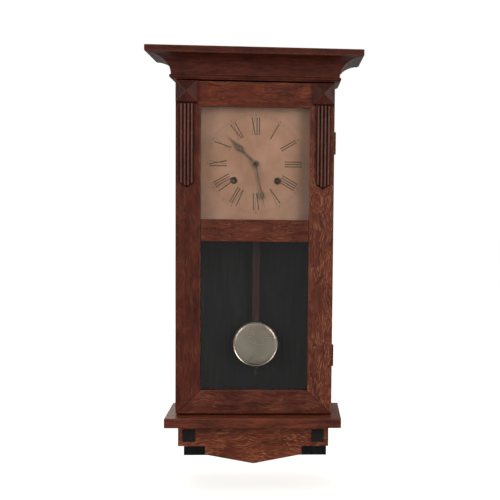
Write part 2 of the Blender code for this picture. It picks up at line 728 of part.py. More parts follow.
def build_barrels():
    for at, pinion_at, name in ((TIME_BARREL, SECOND, "time"), (STRIKE_BARREL, PIN_WHEEL, "strike")):
        wheel_phase, _ = mesh_phase(at, pinion_at, "great_pinion")
        wheel = plate([gear_outline("great", at, wheel_phase)], (43.0, 45.6))
        drum = turned([(0, 63.4), (19.5, 63.4), (19.5, 45.2), (0, 45.2)], at, 28)
        barrel = combine(fuse(wheel, drum), rod(at, 4.1, (40, 66), 12), "DIFFERENCE")
        node(barrel, name + "_barrel", BRASS)
        low, high = PLATE_BACK[1] + GAP, PLATE_FRONT[0]
        shaft = turned([(0, 74.8), (3.7, 74.8), (3.7, low), (2.2, low), (2.2, 38.2), (0, 38.2)], at, 12)
        square = box((at[0] - 2.4, at[0] + 2.4), (high, 88.4), (at[1] - 2.4, at[1] + 2.4), 0.4)
        node(fuse(shaft, as_mesh(square)), name + "_winding_arbor", STEEL)


def build_going_train():
    _, phase = mesh_phase(TIME_BARREL, SECOND, "great_pinion")
    wheel_phase, centre_phase = mesh_phase(SECOND, CENTRE, "centre_pinion")
    node(fuse(arbor(SECOND, 1.0, 1.0), plate([gear_outline("great_pinion", SECOND, phase)], (42.4, 46.4)),
              plate([gear_outline("second", SECOND, wheel_phase)], (66.0, 67.4))), "second_wheel", BRASS)
    wheel_phase, phase = mesh_phase(CENTRE, THIRD, "third_pinion")
    shaft = turned([(0, 97.6), (1.4, 97.6), (1.4, 40.3), (1.0, 40.3), (1.0, 38.3), (0, 38.3)], CENTRE, 8)
    node(fuse(shaft, plate([gear_outline("centre_pinion", CENTRE, centre_phase)], (65.2, 68.2)),
              plate([gear_outline("centre", CENTRE, wheel_phase)], (61.6, 62.8))), "centre_wheel", BRASS)
    wheel_phase, escape_phase = mesh_phase(THIRD, ESCAPE, "escape_pinion")
    node(fuse(arbor(THIRD, 1.0, 1.0, 1.1), plate([gear_outline("third_pinion", THIRD, phase)], (60.8, 63.6)),
              plate([gear_outline("third", THIRD, wheel_phase)], (55.0, 56.0))), "third_wheel", BRASS)
    teeth = 30
    points = []
    for i in range(teeth):
        turn = 2 * math.pi * i / teeth
        for r, offset in ((10.4, -0.55), (12.5, 0.0), (12.5, 0.08), (10.4, 0.2)):
            angle = turn + offset * 2 * math.pi / teeth
            points.append((ESCAPE[0] + r * math.sin(angle), ESCAPE[1] + r * math.cos(angle)))
    node(fuse(arbor(ESCAPE, 0.9, 0.9, 1.0), plate([gear_outline("escape_pinion", ESCAPE, escape_phase)], (54.0, 57.0)),
              plate([points], (46.0, 47.2))), "escape_wheel", BRASS)


def build_verge():
    """Anchor, its arbor and the crutch that reaches the pendulum."""
    half = [(0, VERGE_Z + 3.6), (4.0, VERGE_Z + 1.6), (12.0, 36.6), (12.2, 32.9), (10.6, 35.2), (4.0, VERGE_Z - 3.0),
            (0, VERGE_Z - 4.2)]
    outline = half + [(-x, z) for x, z in reversed(half[1:-1])]
    anchor = plate([outline], (45.8, 47.4))
    shaft = turned([(0, 73.7), (0.9, 73.7), (0.9, 71.7), (1.2, 71.7), (1.2, 36.0), (0, 36.0)], VERGE, 8)
    arm = plate([[(-1.6, VERGE_Z + 2.6), (1.6, VERGE_Z + 2.6), (1.6, 6.0), (4.2, 5.0), (4.2, 1.0), (-4.2, 1.0),
                  (-4.2, 5.0), (-1.6, 6.0)]], (36.2, 37.2))
    pins = [rod((x, 3.0), 0.8, (29.0, 36.6), 8) for x in (-2.6, 2.6)]
    node(fuse(shaft, anchor, arm, *pins), "verge", STEEL)


def build_motion_work():
    phase_wheel, phase_cannon = mesh_phase(MINUTE_WHEEL, CENTRE, "cannon")
    pipe = turned([(0, 96.5), (2.9, 96.5), (2.9, 75.0), (0, 75.0)], CENTRE, 12)
    cannon = fuse(pipe, plate([gear_outline("cannon", CENTRE, phase_cannon)], (74.9, 77.4)))
    node(combine(cannon, rod(CENTRE, 1.9, (70, 99), 12), "DIFFERENCE"), "cannon_pinion", BRASS)
    hour_phase, pinion_phase = mesh_phase(CENTRE, MINUTE_WHEEL, "minute_pinion")
    wheel = plate([gear_outline("minute", MINUTE_WHEEL, phase_wheel)], (75.0, 77.0))
    pinion = plate([gear_outline("minute_pinion", MINUTE_WHEEL, pinion_phase)], (76.6, 81.0))
    node(combine(fuse(wheel, pinion), rod(MINUTE_WHEEL, 2.0, (70, 84), 12), "DIFFERENCE"), "minute_wheel", BRASS)
    hour = plate([gear_outline("hour", CENTRE, hour_phase)], (78.4, 80.2))
    pipe = turned([(0, 93.4), (4.9, 93.4), (4.9, 79.6), (0, 79.6)], CENTRE, 16)
    node(combine(fuse(hour, pipe), rod(CENTRE, 3.4, (70, 99), 12), "DIFFERENCE"), "hour_wheel", BRASS)


def build_strike():
    _, phase = mesh_phase(STRIKE_BARREL, PIN_WHEEL, "great_pinion")
    wheel_phase, fly_phase = mesh_phase(PIN_WHEEL, FLY, "fly_pinion")
    pins = [rod(spot, 0.8, (67.0, 69.8), 8) for spot in ring(PIN_WHEEL, 14.0, 8)]
    node(fuse(arbor(PIN_WHEEL, 1.0, 1.0), plate([gear_outline("great_pinion", PIN_WHEEL, phase)], (42.4, 46.4)),
              plate([gear_outline("pin", PIN_WHEEL, wheel_phase)], (66.0, 67.4)), *pins), "pin_wheel", BRASS)
    vane = box((FLY[0] - 10.5, FLY[0] + 10.5), (47.6, 53.4), (FLY[1] - 0.3, FLY[1] + 0.3))
    node(fuse(arbor(FLY, 0.9, 0.9, 1.0), as_mesh(vane),
              plate([gear_outline("fly_pinion", FLY, fly_phase)], (65.0, 68.4))), "fly", BRASS)
    x, z = HAMMER
    arm = wire([(x - 1, 58, z + 1), (x - 6, 58, z + 12), (-96, 58, 56), (-99.4, 58, 60.5)], 1.1)
    head = turned_head((-99.0, 58.0, 60.5))
    tail = plate([[(x, z + 1.2), (x, z - 1.2), (-43.0, z - 10.5), (-41.5, z - 9.5)]], (68.2, 69.4))
    node(fuse(arbor(HAMMER, 0.9, 0.9, 1.6), arm, head, tail), "strike_hammer", STEEL)


def turned_head(at):
    """A short cylinder lying along X."""
    head = rod((0, 0), 5.5, (-7.0, 7.0), 16, "Z")
    head.data.transform(Matrix.Translation((at[0] * MM, -at[1] * MM, at[2] * MM)) @ Matrix.Rotation(math.pi / 2, 4, "Y"))
    return head


def build_gong():
    block = as_mesh(box((-132.05, -104.0), (48.0, 68.0), (86.0, 106.0), 1.0))
    rod_shape = [(0, 95.0), (2.2, 95.0), (2.2, -92.0), (1.6, -93.0), (0, -93.0)]
    node(fuse(block, turned(rod_shape, (-112.0, 58.0), 16, "Z")), "rod_gong", IRON)


# ---------------------------------------------------------------- pendulum

def build_pendulum():
    d = PENDULUM_DEPTH
    strip = box((-3, 3), (d - 0.15, d + 0.15), (VERGE_Z - 16, VERGE_Z))
    collar = box((-4, 4), (d - 1.4, d + 1.4), (VERGE_Z - 20, VERGE_Z - 14))
    hook = rod((0, d), 1.2, (-19.0, VERGE_Z - 18), 12, "Z")
    ferrule = box((-8.4, 8.4), (d - 3.3, d + 3.3), (-24.0, -16.0), 0.5)
    node(fuse(as_mesh(strip), as_mesh(collar), hook, as_mesh(ferrule)), "suspension_hook", BRASS)
    bottom = BOB_Z - BOB_R + 5
    node(box((-STICK_HALF, STICK_HALF), (d - 2.5, d + 2.5), (bottom, -24 - GAP), 0.6), "pendulum_stick", STICK_WOOD)
    front = d + 11.5
    profile = [(0, front), (20, front - 0.6), (33.0, front - 2.2), (34.2, front - 1.6), (36.4, front - 2.6),
               (41.2, front - 4.2), (42.6, front - 3.7), (BOB_R, front - 5.0), (BOB_R, front - 7.0),
               (20, d - 2.6), (0, d - 4.0)]
    bob = turned(profile, (0, BOB_Z), 44)
    cut(bob, box((-STICK_HALF - 0.4, STICK_HALF + 0.4), (d - 12, d + 2.9), (BOB_Z - 60, BOB_Z + 60)))
    node(smooth(bob, 25), "bob", BOB_BRASS)
    screw = rod((0, d), 1.5, (bottom - 22, bottom - GAP), 12, "Z")
    node(screw, "rating_screw", BRASS)
    top = BOB_Z - BOB_R - 0.4
    nut = [(1.9, top), (5.6, top), (6.4, top - 0.8), (6.4, top - 3.6), (5.6, top - 4.4), (1.9, top - 4.4), (1.9, top)]
    node(smooth(turned(nut, (0, d), 16, "Z")), "rating_nut", BRASS)


build_case()
build_crown()
build_base()
build_hanger()
build_door()
build_glazing()
build_ornaments()
build_hinges()
build_dial()
build_hands()
build_plates()
build_barrels()
build_going_train()
build_verge()
build_motion_work()
build_strike()
build_gong()
build_pendulum()
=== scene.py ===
import json
import math

import bpy
from mathutils import Matrix, Vector


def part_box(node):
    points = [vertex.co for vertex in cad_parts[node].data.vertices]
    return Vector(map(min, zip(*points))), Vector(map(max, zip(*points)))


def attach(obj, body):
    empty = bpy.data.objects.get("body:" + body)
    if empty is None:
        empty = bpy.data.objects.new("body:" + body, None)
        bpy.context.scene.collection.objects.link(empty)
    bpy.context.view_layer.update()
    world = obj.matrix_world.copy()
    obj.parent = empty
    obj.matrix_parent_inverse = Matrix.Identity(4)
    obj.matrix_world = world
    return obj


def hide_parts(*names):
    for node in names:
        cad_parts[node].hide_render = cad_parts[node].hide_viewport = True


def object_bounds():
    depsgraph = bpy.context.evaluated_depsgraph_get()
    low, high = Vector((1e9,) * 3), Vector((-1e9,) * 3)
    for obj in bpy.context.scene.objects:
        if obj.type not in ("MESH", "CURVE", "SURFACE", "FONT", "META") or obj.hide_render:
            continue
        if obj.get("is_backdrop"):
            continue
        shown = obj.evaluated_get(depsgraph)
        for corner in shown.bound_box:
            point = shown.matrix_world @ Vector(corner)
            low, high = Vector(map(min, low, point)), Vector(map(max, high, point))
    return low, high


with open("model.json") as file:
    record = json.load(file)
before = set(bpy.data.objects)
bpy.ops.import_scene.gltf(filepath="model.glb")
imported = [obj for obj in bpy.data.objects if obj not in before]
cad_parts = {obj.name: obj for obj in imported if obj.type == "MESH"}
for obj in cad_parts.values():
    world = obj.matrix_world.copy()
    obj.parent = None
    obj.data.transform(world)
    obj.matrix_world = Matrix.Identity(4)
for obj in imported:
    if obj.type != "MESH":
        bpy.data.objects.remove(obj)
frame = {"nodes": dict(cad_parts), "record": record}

# Looks of a pendulum wall clock. Lengths in the tables are millimetres, a depth is
# measured out from the wall, and everything is placed from the loaded frame.
MM = 0.001
NODES = frame["nodes"]
BODY_OF = {node: body for body, members in frame["record"]["behaviour"]["bodies"].items() for node in members}
CAD_LOW, CAD_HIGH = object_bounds()


def corners(node):
    """Lowest and highest corner of a node in millimetres."""
    low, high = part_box(node)
    return low / MM, high / MM


# ---------------------------------------------------------------- hand work

def put_down():
    """Back to object mode with nothing selected."""
    if bpy.context.mode != "OBJECT":
        bpy.ops.object.mode_set(mode="OBJECT")
    bpy.ops.object.select_all(action="DESELECT")


def pick_up(piece):
    """Only this piece is selected and active."""
    put_down()
    piece.select_set(True)
    bpy.context.view_layer.objects.active = piece


def choose(piece, kind, wanted):
    """Edit mode with the vertices, edges or faces chosen that wanted(middle, normal) accepts."""
    pick_up(piece)
    bpy.ops.object.mode_set(mode="EDIT")
    bpy.ops.mesh.select_mode(type=kind)
    bpy.ops.mesh.select_all(action="DESELECT")
    bpy.ops.object.mode_set(mode="OBJECT")
    mesh = piece.data
    if kind == "FACE":
        for face in mesh.polygons:
            face.select = wanted(face.center / MM, face.normal)
    elif kind == "EDGE":
        for edge in mesh.edges:
            a, b = (mesh.vertices[i].co for i in edge.vertices)
            edge.select = wanted((a + b) / 2 / MM, (b - a).normalized())
    else:
        for vertex in mesh.vertices:
            vertex.select = wanted(vertex.co / MM, vertex.normal)
    bpy.ops.object.mode_set(mode="EDIT")


def everything(piece):
    pick_up(piece)
    bpy.ops.object.mode_set(mode="EDIT")
    bpy.ops.mesh.select_mode(type="VERT")
    bpy.ops.mesh.select_all(action="SELECT")


def true_up(piece):
    """Merges doubles and turns all faces outwards."""
    everything(piece)
    bpy.ops.mesh.remove_doubles(threshold=0.002 * MM)
    bpy.ops.mesh.normals_make_consistent(inside=False)
    bpy.ops.object.mode_set(mode="OBJECT")


def apply(piece, kind, **settings):
    """Adds one modifier and applies it."""
    pick_up(piece)
    modifier = piece.modifiers.new(kind.lower(), kind)
    for setting, value in settings.items():
        setattr(modifier, setting, value)
    bpy.ops.object.modifier_apply(modifier=modifier.name)


def ease(piece, width, steps=2, angle=30):
    """Rounds the sharp edges over."""
    apply(piece, "BEVEL", width=width * MM, segments=steps, limit_method="ANGLE",
          angle_limit=math.radians(angle), use_clamp_overlap=True)


def block(x, depth, z):
    """A squared block between two values on each axis, to be worked further."""
    put_down()
    middle = ((x[0] + x[1]) / 2 * MM, -(depth[0] + depth[1]) / 2 * MM, (z[0] + z[1]) / 2 * MM)
    bpy.ops.mesh.primitive_cube_add(size=1, location=middle)
    piece = bpy.context.active_object
    piece.scale = (abs(x[1] - x[0]) * MM, abs(depth[1] - depth[0]) * MM, abs(z[1] - z[0]) * MM)
    bpy.ops.object.transform_apply(location=True, rotation=True, scale=True)
    return piece


def turned(line, centre, axis="Y", steps=64):
    """Spins a line of (radius, along) points. Along is a depth for axis Y and a height for axis Z."""
    if axis == "Y":
        points = [Vector((centre[0] + r, -d, centre[1])) * MM for r, d in line]
        hub, spindle = Vector((centre[0], 0, centre[1])) * MM, (0, 1, 0)
    elif axis == "Z":
        points = [Vector((centre[0] + r, -centre[1], z)) * MM for r, z in line]
        hub, spindle = Vector((centre[0], -centre[1], 0)) * MM, (0, 0, 1)
    put_down()
    bpy.ops.mesh.primitive_plane_add(size=MM)
    piece = bpy.context.active_object
    bpy.ops.object.mode_set(mode="EDIT")
    bpy.ops.mesh.select_mode(type="VERT")
    bpy.ops.mesh.select_all(action="SELECT")
    bpy.ops.mesh.merge(type="CENTER")
    bpy.ops.transform.translate(value=points[0])
    for here, there in zip(points, points[1:]):
        bpy.ops.mesh.extrude_region_move(TRANSFORM_OT_translate={"value": there - here})
    bpy.ops.mesh.select_all(action="SELECT")
    bpy.ops.mesh.spin(steps=steps, angle=2 * math.pi, center=hub, axis=spindle)
    true_up(piece)
    return piece


def cut_away(piece, *tools):
    """Boolean difference; the tools are used up."""
    for tool in tools:
        apply(piece, "BOOLEAN", operation="DIFFERENCE", solver="EXACT", object=tool)
        bpy.data.objects.remove(tool)
    return piece


def twin(piece, matrix=None):
    """A copy with its own mesh."""
    copy = bpy.data.objects.new(piece.name, piece.data.copy())
    bpy.context.scene.collection.objects.link(copy)
    if matrix is not None:
        copy.data.transform(matrix)
    return copy


def shifted(x=0.0, depth=0.0, z=0.0):
    return Matrix.Translation((x * MM, -depth * MM, z * MM))


def joined(pieces):
    """One object from several."""
    put_down()
    for piece in pieces:
        piece.select_set(True)
    bpy.context.view_layer.objects.active = pieces[0]
    if len(pieces) > 1:
        bpy.ops.object.join()
    return pieces[0]


def finished(piece, name, body, material, stands_for=(), angle=35, flat_faces=False):
    """Names, finishes and hangs a piece on its body."""
    pick_up(piece)
    bpy.ops.object.transform_apply(location=True, rotation=True, scale=True)
    bpy.ops.object.shade_smooth_by_angle(angle=math.radians(angle))
    if flat_faces:
        # large flat faces keep a true shade beside their rounded edges
        apply(piece, "WEIGHTED_NORMAL", weight=100, keep_sharp=True)
    piece.name = piece.data.name = name
    piece.data.materials.clear()
    piece.data.materials.append(material)
    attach(piece, body)
    if stands_for:
        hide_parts(*stands_for)
    return piece


def rough_copy(node):
    """A node's shape with its loose triangles joined and its flat faces made whole."""
    piece = bpy.data.objects.new(node + "_copy", NODES[node].data.copy())
    bpy.context.scene.collection.objects.link(piece)
    pick_up(piece)
    bpy.ops.mesh.customdata_custom_splitnormals_clear()
    everything(piece)
    bpy.ops.mesh.remove_doubles(threshold=0.002 * MM)
    bpy.ops.mesh.dissolve_limited(angle_limit=math.radians(0.4))
    bpy.ops.object.mode_set(mode="OBJECT")
    return piece


# ---------------------------------------------------------------- finishes

def linear(colour):
    """sRGB hex to linear RGBA."""
    channels = [int(colour[i:i + 2], 16) / 255 for i in (1, 3, 5)]
    return [c / 12.92 if c <= 0.04045 else ((c + 0.055) / 1.055) ** 2.4 for c in channels] + [1.0]


MATH, VECTOR, MIX = "ShaderNodeMath", "ShaderNodeVectorMath", "ShaderNodeMix"
MAPPING, NOISE, RAMP = "ShaderNodeMapping", "ShaderNodeTexNoise", "ShaderNodeValToRGB"
COLOUR = {"data_type": "RGBA", "clamp_factor": True}
DARKEN = {"data_type": "RGBA", "clamp_factor": True, "blend_type": "MULTIPLY"}


def add(tree, kind, settings=None, **links):
    """Adds one node. Settings are its properties, and stops are a ramp's (position, colour) pairs.

    Links are its inputs by name or as in_0, in_1: a socket, a value or a hex colour.
    """
    node = tree.nodes.new(kind)
    for name, value in (settings or {}).items():
        if name == "stops":
            bar = node.color_ramp.elements
            while len(bar) < len(value):
                bar.new(0.5)
            for element, (position, colour) in zip(bar, value):
                element.position = position
                element.color = linear(colour) if isinstance(colour, str) else (colour, colour, colour, 1)
        else:
            setattr(node, name, value)
    for name, value in links.items():
        key = int(name[3:]) if name.startswith("in_") else name.replace("_", " ")
        if isinstance(value, bpy.types.NodeSocket):
            tree.links.new(value, node.inputs[key])
        else:
            node.inputs[key].default_value = linear(value) if isinstance(value, str) else value
    return node


def finish_named(name, **sockets):
    """A new material with its shader's own sockets set."""
    material = bpy.data.materials.new(name)
    material.use_nodes = True
    tree = material.node_tree
    shader = tree.nodes["Principled BSDF"]
    for socket, value in sockets.items():
        shader.inputs[socket.replace("_", " ")].default_value = value
    place = add(tree, "ShaderNodeTexCoord").outputs["Object"]
    return material, tree, shader, place


TURN_GRAIN = {"Z": (0, 0, 0), "X": (0, -math.pi / 2, 0), "Y": (math.pi / 2, 0, 0)}
# how far interlocked fibres lean off the length of the board, in radians
LEAN = 0.17


def stained_oak(grain):
    """Sawn oak, fumed and stained red-brown, under a thin rubbed varnish.

    The fibres swing from side to side, so pale threads and dark open pores run in waves.
    Each board carries its place in the log, its depth of stain, which on the door stiles also paints light
    and shade, and how strong its figure is. Its faces and points say where it is rubbed pale or filled with
    dirt, where shade is painted darker, and where the reed crests carry a painted highlight.
    """
    material, tree, shader, place = finish_named(
        "oak_dark_stained_grain_" + grain.lower(), IOR=1.5, Specular_IOR_Level=0.3,
        Coat_Weight=0.06, Coat_Roughness=0.25)
    log, stain, figure, wear = (
        add(tree, "ShaderNodeAttribute", {"attribute_name": name}).outputs[socket]
        for name, socket in (("board", "Vector"), ("stain", "Vector"), ("figure", "Fac"), ("wear", "Fac")))
    along = add(tree, MAPPING, Vector=place, Rotation=TURN_GRAIN[grain]).outputs[0]
    in_log = add(tree, VECTOR, {"operation": "ADD"}, in_0=along, in_1=log).outputs[0]
    # the swing of the fibres: some 3 mm to either side over 60 mm of length
    swing_place = add(tree, MAPPING, Vector=in_log, Scale=(0.4, 0.4, 0.5)).outputs[0]
    swing = add(tree, NOISE, Vector=swing_place, Scale=36.0, Detail=1.0, Roughness=0.4).outputs["Color"]
    swing = add(tree, VECTOR, {"operation": "SUBTRACT"}, in_0=swing, in_1=(0.5, 0.5, 0.5)).outputs[0]
    swing = add(tree, VECTOR, {"operation": "MULTIPLY"}, in_0=swing, in_1=(0.017, 0.017, 0.0)).outputs[0]
    waved = add(tree, VECTOR, {"operation": "ADD"}, in_0=in_log, in_1=swing).outputs[0]

    def streaks(scale, stretch, detail, offset=(0, 0, 0), lean=0.0):
        """Noise drawn out along the fibres; a streak is about 1 / scale metres across."""
        leaning = add(tree, MAPPING, Vector=waved, Rotation=(0, lean, 0)).outputs[0]
        lying = add(tree, MAPPING, Vector=leaning, Location=offset, Scale=(1, 1, stretch)).outputs[0]
        return add(tree, NOISE, Vector=lying, Scale=scale, Detail=detail, Roughness=0.6).outputs[0]

    # growth bands 6 mm across and 70 mm long
    bands = streaks(150.0, 0.085, 3.5)
    # threads 1.2 mm across and 35 mm long, and pores 1.4 mm by 14 mm: both three times
    # coarser than life, because finer ones would not show. Neighbouring patches lean
    # opposite ways, which is the herringbone of interlocked grain
    patches = add(tree, NOISE, Vector=in_log, Scale=26.0, Detail=2.0).outputs[0]
    lean_patch = add(tree, NOISE, Vector=in_log, Scale=30.0, Detail=0.0).outputs[0]
    lean_way = add(tree, RAMP, {"stops": [(0.47, 0.0), (0.53, 1.0)]}, Fac=lean_patch).outputs[0]
    one_way = streaks(820.0, 0.035, 1.5, (3.0, 1.0, 2.0), LEAN)
    other_way = streaks(820.0, 0.035, 1.5, (9.0, 4.0, 6.0), -LEAN)
    threads = add(tree, MIX, COLOUR, in_0=lean_way, in_6=one_way, in_7=other_way).outputs[2]
    pores = streaks(700.0, 0.1, 1.5, (7.0, 5.0, 4.0))

    # where the threads show, and where the pores do
    thready = add(tree, RAMP, {"stops": [(0.36, 0.3), (0.56, 1.0)]}, Fac=patches).outputs[0]
    thready = add(tree, MATH, {"operation": "MULTIPLY"}, in_0=thready, in_1=figure).outputs[0]
    thread_mask = add(tree, RAMP, {"stops": [(0.52, 0.0), (0.66, 1.0)]}, Fac=threads).outputs[0]
    thread_mask = add(tree, MATH, {"operation": "MULTIPLY"}, in_0=thread_mask, in_1=thready).outputs[0]
    porous = add(tree, RAMP, {"stops": [(0.38, 1.0), (0.62, 0.4)]}, Fac=bands).outputs[0]
    pore_mask = add(tree, RAMP, {"stops": [(0.52, 0.0), (0.64, 1.0)]}, Fac=pores).outputs[0]
    pore_mask = add(tree, MATH, {"operation": "MULTIPLY"}, in_0=pore_mask, in_1=porous).outputs[0]

    stops = [(0.3, "#57281A"), (0.46, "#713523"), (0.6, "#82412B"), (0.76, "#63301E")]
    wood = add(tree, RAMP, {"stops": stops}, Fac=bands).outputs[0]
    cloudy = add(tree, RAMP, {"stops": [(0.3, "#B09494"), (0.7, "#FFF4E8")]}, Fac=patches).outputs[0]
    wood = add(tree, MIX, DARKEN, in_0=0.6, in_6=wood, in_7=cloudy).outputs[2]
    share = add(tree, MATH, {"operation": "MULTIPLY"}, in_0=pore_mask, in_1=0.72).outputs[0]
    wood = add(tree, MIX, COLOUR, in_0=share, in_6=wood, in_7="#33120B").outputs[2]
    share = add(tree, MATH, {"operation": "MULTIPLY"}, in_0=thread_mask, in_1=0.85).outputs[0]
    wood = add(tree, MIX, COLOUR, in_0=share, in_6=wood, in_7="#B37650").outputs[2]
    wood = add(tree, VECTOR, {"operation": "MULTIPLY"}, in_0=wood, in_1=stain).outputs[0]

    # hollows keep dirt and thick stain, crests and arrises are rubbed and nicked; the same mark paints shade
    # darker beside the blocks and drops, on the block facets and in the reed hollows, and paints a highlight
    # on the reed crests
    # dark mix: dirt in joints, and painted shade where the mark is below zero
    share = add(tree, MATH, {"operation": "MULTIPLY"}, in_0=wear, in_1=-0.95).outputs[0]
    wood = add(tree, MIX, COLOUR, in_0=share, in_6=wood, in_7="#230C08").outputs[2]
    nicks = add(tree, NOISE, Vector=in_log, Scale=170.0, Detail=1.0).outputs[0]
    nicks = add(tree, RAMP, {"stops": [(0.66, 0.0), (0.7, 1.0)]}, Fac=nicks).outputs[0]
    rubbing = add(tree, RAMP, {"stops": [(0.4, 0.45), (0.6, 1.0)]}, Fac=threads).outputs[0]
    rubbing = add(tree, MATH, {"operation": "ADD"}, in_0=rubbing, in_1=nicks).outputs[0]
    share = add(tree, MATH, {"operation": "MULTIPLY"}, in_0=wear, in_1=rubbing).outputs[0]
    wood = add(tree, MIX, COLOUR, in_0=share, in_6=wood, in_7="#93634F").outputs[2]
    tree.links.new(wood, shader.inputs["Base Color"])

    # pores are duller than the wood between them, and dirt and painted shade are duller still
    relief = add(tree, MATH, {"operation": "MULTIPLY"}, in_0=bands, in_1=0.3).outputs[0]
    gloss = add(tree, MATH, {"operation": "ADD"}, in_0=pore_mask, in_1=relief).outputs[0]
    gloss = add(tree, RAMP, {"stops": [(0.0, 0.3), (1.0, 0.55)]}, Fac=gloss).outputs[0]
    dull = add(tree, MATH, {"operation": "MULTIPLY"}, in_0=wear, in_1=-0.8).outputs[0]
    dull = add(tree, MATH, {"operation": "MAXIMUM"}, in_0=dull, in_1=0.0).outputs[0]
    gloss = add(tree, MATH, {"operation": "ADD"}, in_0=gloss, in_1=dull).outputs[0]
    tree.links.new(gloss, shader.inputs["Roughness"])
    height = add(tree, MATH, {"operation": "SUBTRACT"}, in_0=relief, in_1=pore_mask).outputs[0]
    bump = add(tree, "ShaderNodeBump", Strength=0.3, Distance=0.0004, Height=height).outputs[0]
    tree.links.new(bump, shader.inputs["Normal"])
    return material


def dark_board():
    """Thin softwood board with a dark wash: dull, with faint long grain, and a blue-grey cast painted on as
    the cool reflection of the panes in front of it.
    """
    material, tree, shader, place = finish_named("softwood_board_dark_wash", Specular_IOR_Level=0.1)
    long_place = add(tree, MAPPING, Vector=place, Scale=(1, 1, 0.05)).outputs[0]
    grain = add(tree, NOISE, Vector=long_place, Scale=260.0, Detail=4.0, Roughness=0.6).outputs[0]
    blotch = add(tree, NOISE, Vector=place, Scale=14.0, Detail=2.0).outputs[0]
    blotch = add(tree, RAMP, {"stops": [(0.3, 0.6), (0.7, 1.0)]}, Fac=blotch).outputs[0]
    # the blue-grey cast of these colours is a painted reflection of the cool room in the panes in front
    stops = [(0.3, "#1B1D20"), (0.55, "#282A2D"), (0.75, "#333333")]
    colour = add(tree, RAMP, {"stops": stops}, Fac=grain).outputs[0]
    colour = add(tree, MIX, DARKEN, in_0=0.5, in_6=colour, in_7=blotch).outputs[2]
    tree.links.new(colour, shader.inputs["Base Color"])
    dull = add(tree, RAMP, {"stops": [(0.2, 0.55), (0.8, 0.75)]}, Fac=grain).outputs[0]
    tree.links.new(dull, shader.inputs["Roughness"])
    bump = add(tree, "ShaderNodeBump", Strength=0.3, Distance=0.0003, Height=grain).outputs[0]
    tree.links.new(bump, shader.inputs["Normal"])
    return material


def plain_finish(name, colours, scale, stretch=(1, 1, 1), roughness=(0.3, 0.45), bump=0.1, depth=0.0001,
                 **sockets):
    """A finish from one cloud or streak pattern: colours from low to high, then roughness and bump."""
    material, tree, shader, place = finish_named(name, **sockets)
    spread = add(tree, MAPPING, Vector=place, Scale=stretch).outputs[0]
    cloud = add(tree, NOISE, Vector=spread, Scale=scale, Detail=4.0, Roughness=0.55).outputs[0]
    stops = [(0.3 + 0.4 * i / (len(colours) - 1), colour) for i, colour in enumerate(colours)]
    colour = add(tree, RAMP, {"stops": stops}, Fac=cloud).outputs[0]
    tree.links.new(colour, shader.inputs["Base Color"])
    gloss = add(tree, RAMP, {"stops": [(0.3, roughness[0]), (0.7, roughness[1])]}, Fac=cloud).outputs[0]
    tree.links.new(gloss, shader.inputs["Roughness"])
    relief = add(tree, "ShaderNodeBump", Strength=bump, Distance=depth, Height=cloud).outputs[0]
    tree.links.new(relief, shader.inputs["Normal"])
    return material


def dial_paint():
    """Painted sheet zinc, aged to tan: faint clouding and fine grime, with paler corners painted on as light.
    """
    material, tree, shader, place = finish_named("painted_zinc_aged_cream", Specular_IOR_Level=0.15)
    cloud = add(tree, NOISE, Vector=place, Scale=22.0, Detail=4.0, Roughness=0.6).outputs[0]
    grime = add(tree, NOISE, Vector=place, Scale=160.0, Detail=3.0, Roughness=0.7).outputs[0]
    out = add(tree, VECTOR, {"operation": "LENGTH"}, in_0=place).outputs["Value"]
    # paler towards the corners of the sheet, from 118 to 175 mm out: painted light on the corners against the
    # shade the door frame throws there
    corner_light = add(tree, "ShaderNodeMapRange", Value=out, in_1=0.118, in_2=0.175, in_3=0.0, in_4=0.4).outputs[0]
    stops = [(0.3, "#AC816A"), (0.5, "#B78C76"), (0.72, "#C19887")]
    colour = add(tree, RAMP, {"stops": stops}, Fac=cloud).outputs[0]
    grimy = add(tree, RAMP, {"stops": [(0.62, 0.0), (0.8, 0.35)]}, Fac=grime).outputs[0]
    colour = add(tree, MIX, COLOUR, in_0=grimy, in_6=colour, in_7="#916D54").outputs[2]
    colour = add(tree, MIX, COLOUR, in_0=corner_light, in_6=colour, in_7="#BE9D90").outputs[2]
    tree.links.new(colour, shader.inputs["Base Color"])
    gloss = add(tree, RAMP, {"stops": [(0.3, 0.42), (0.7, 0.58)]}, Fac=cloud).outputs[0]
    tree.links.new(gloss, shader.inputs["Roughness"])
    bump = add(tree, "ShaderNodeBump", Strength=0.12, Distance=0.0001, Height=grime).outputs[0]
    tree.links.new(bump, shader.inputs["Normal"])
    return material


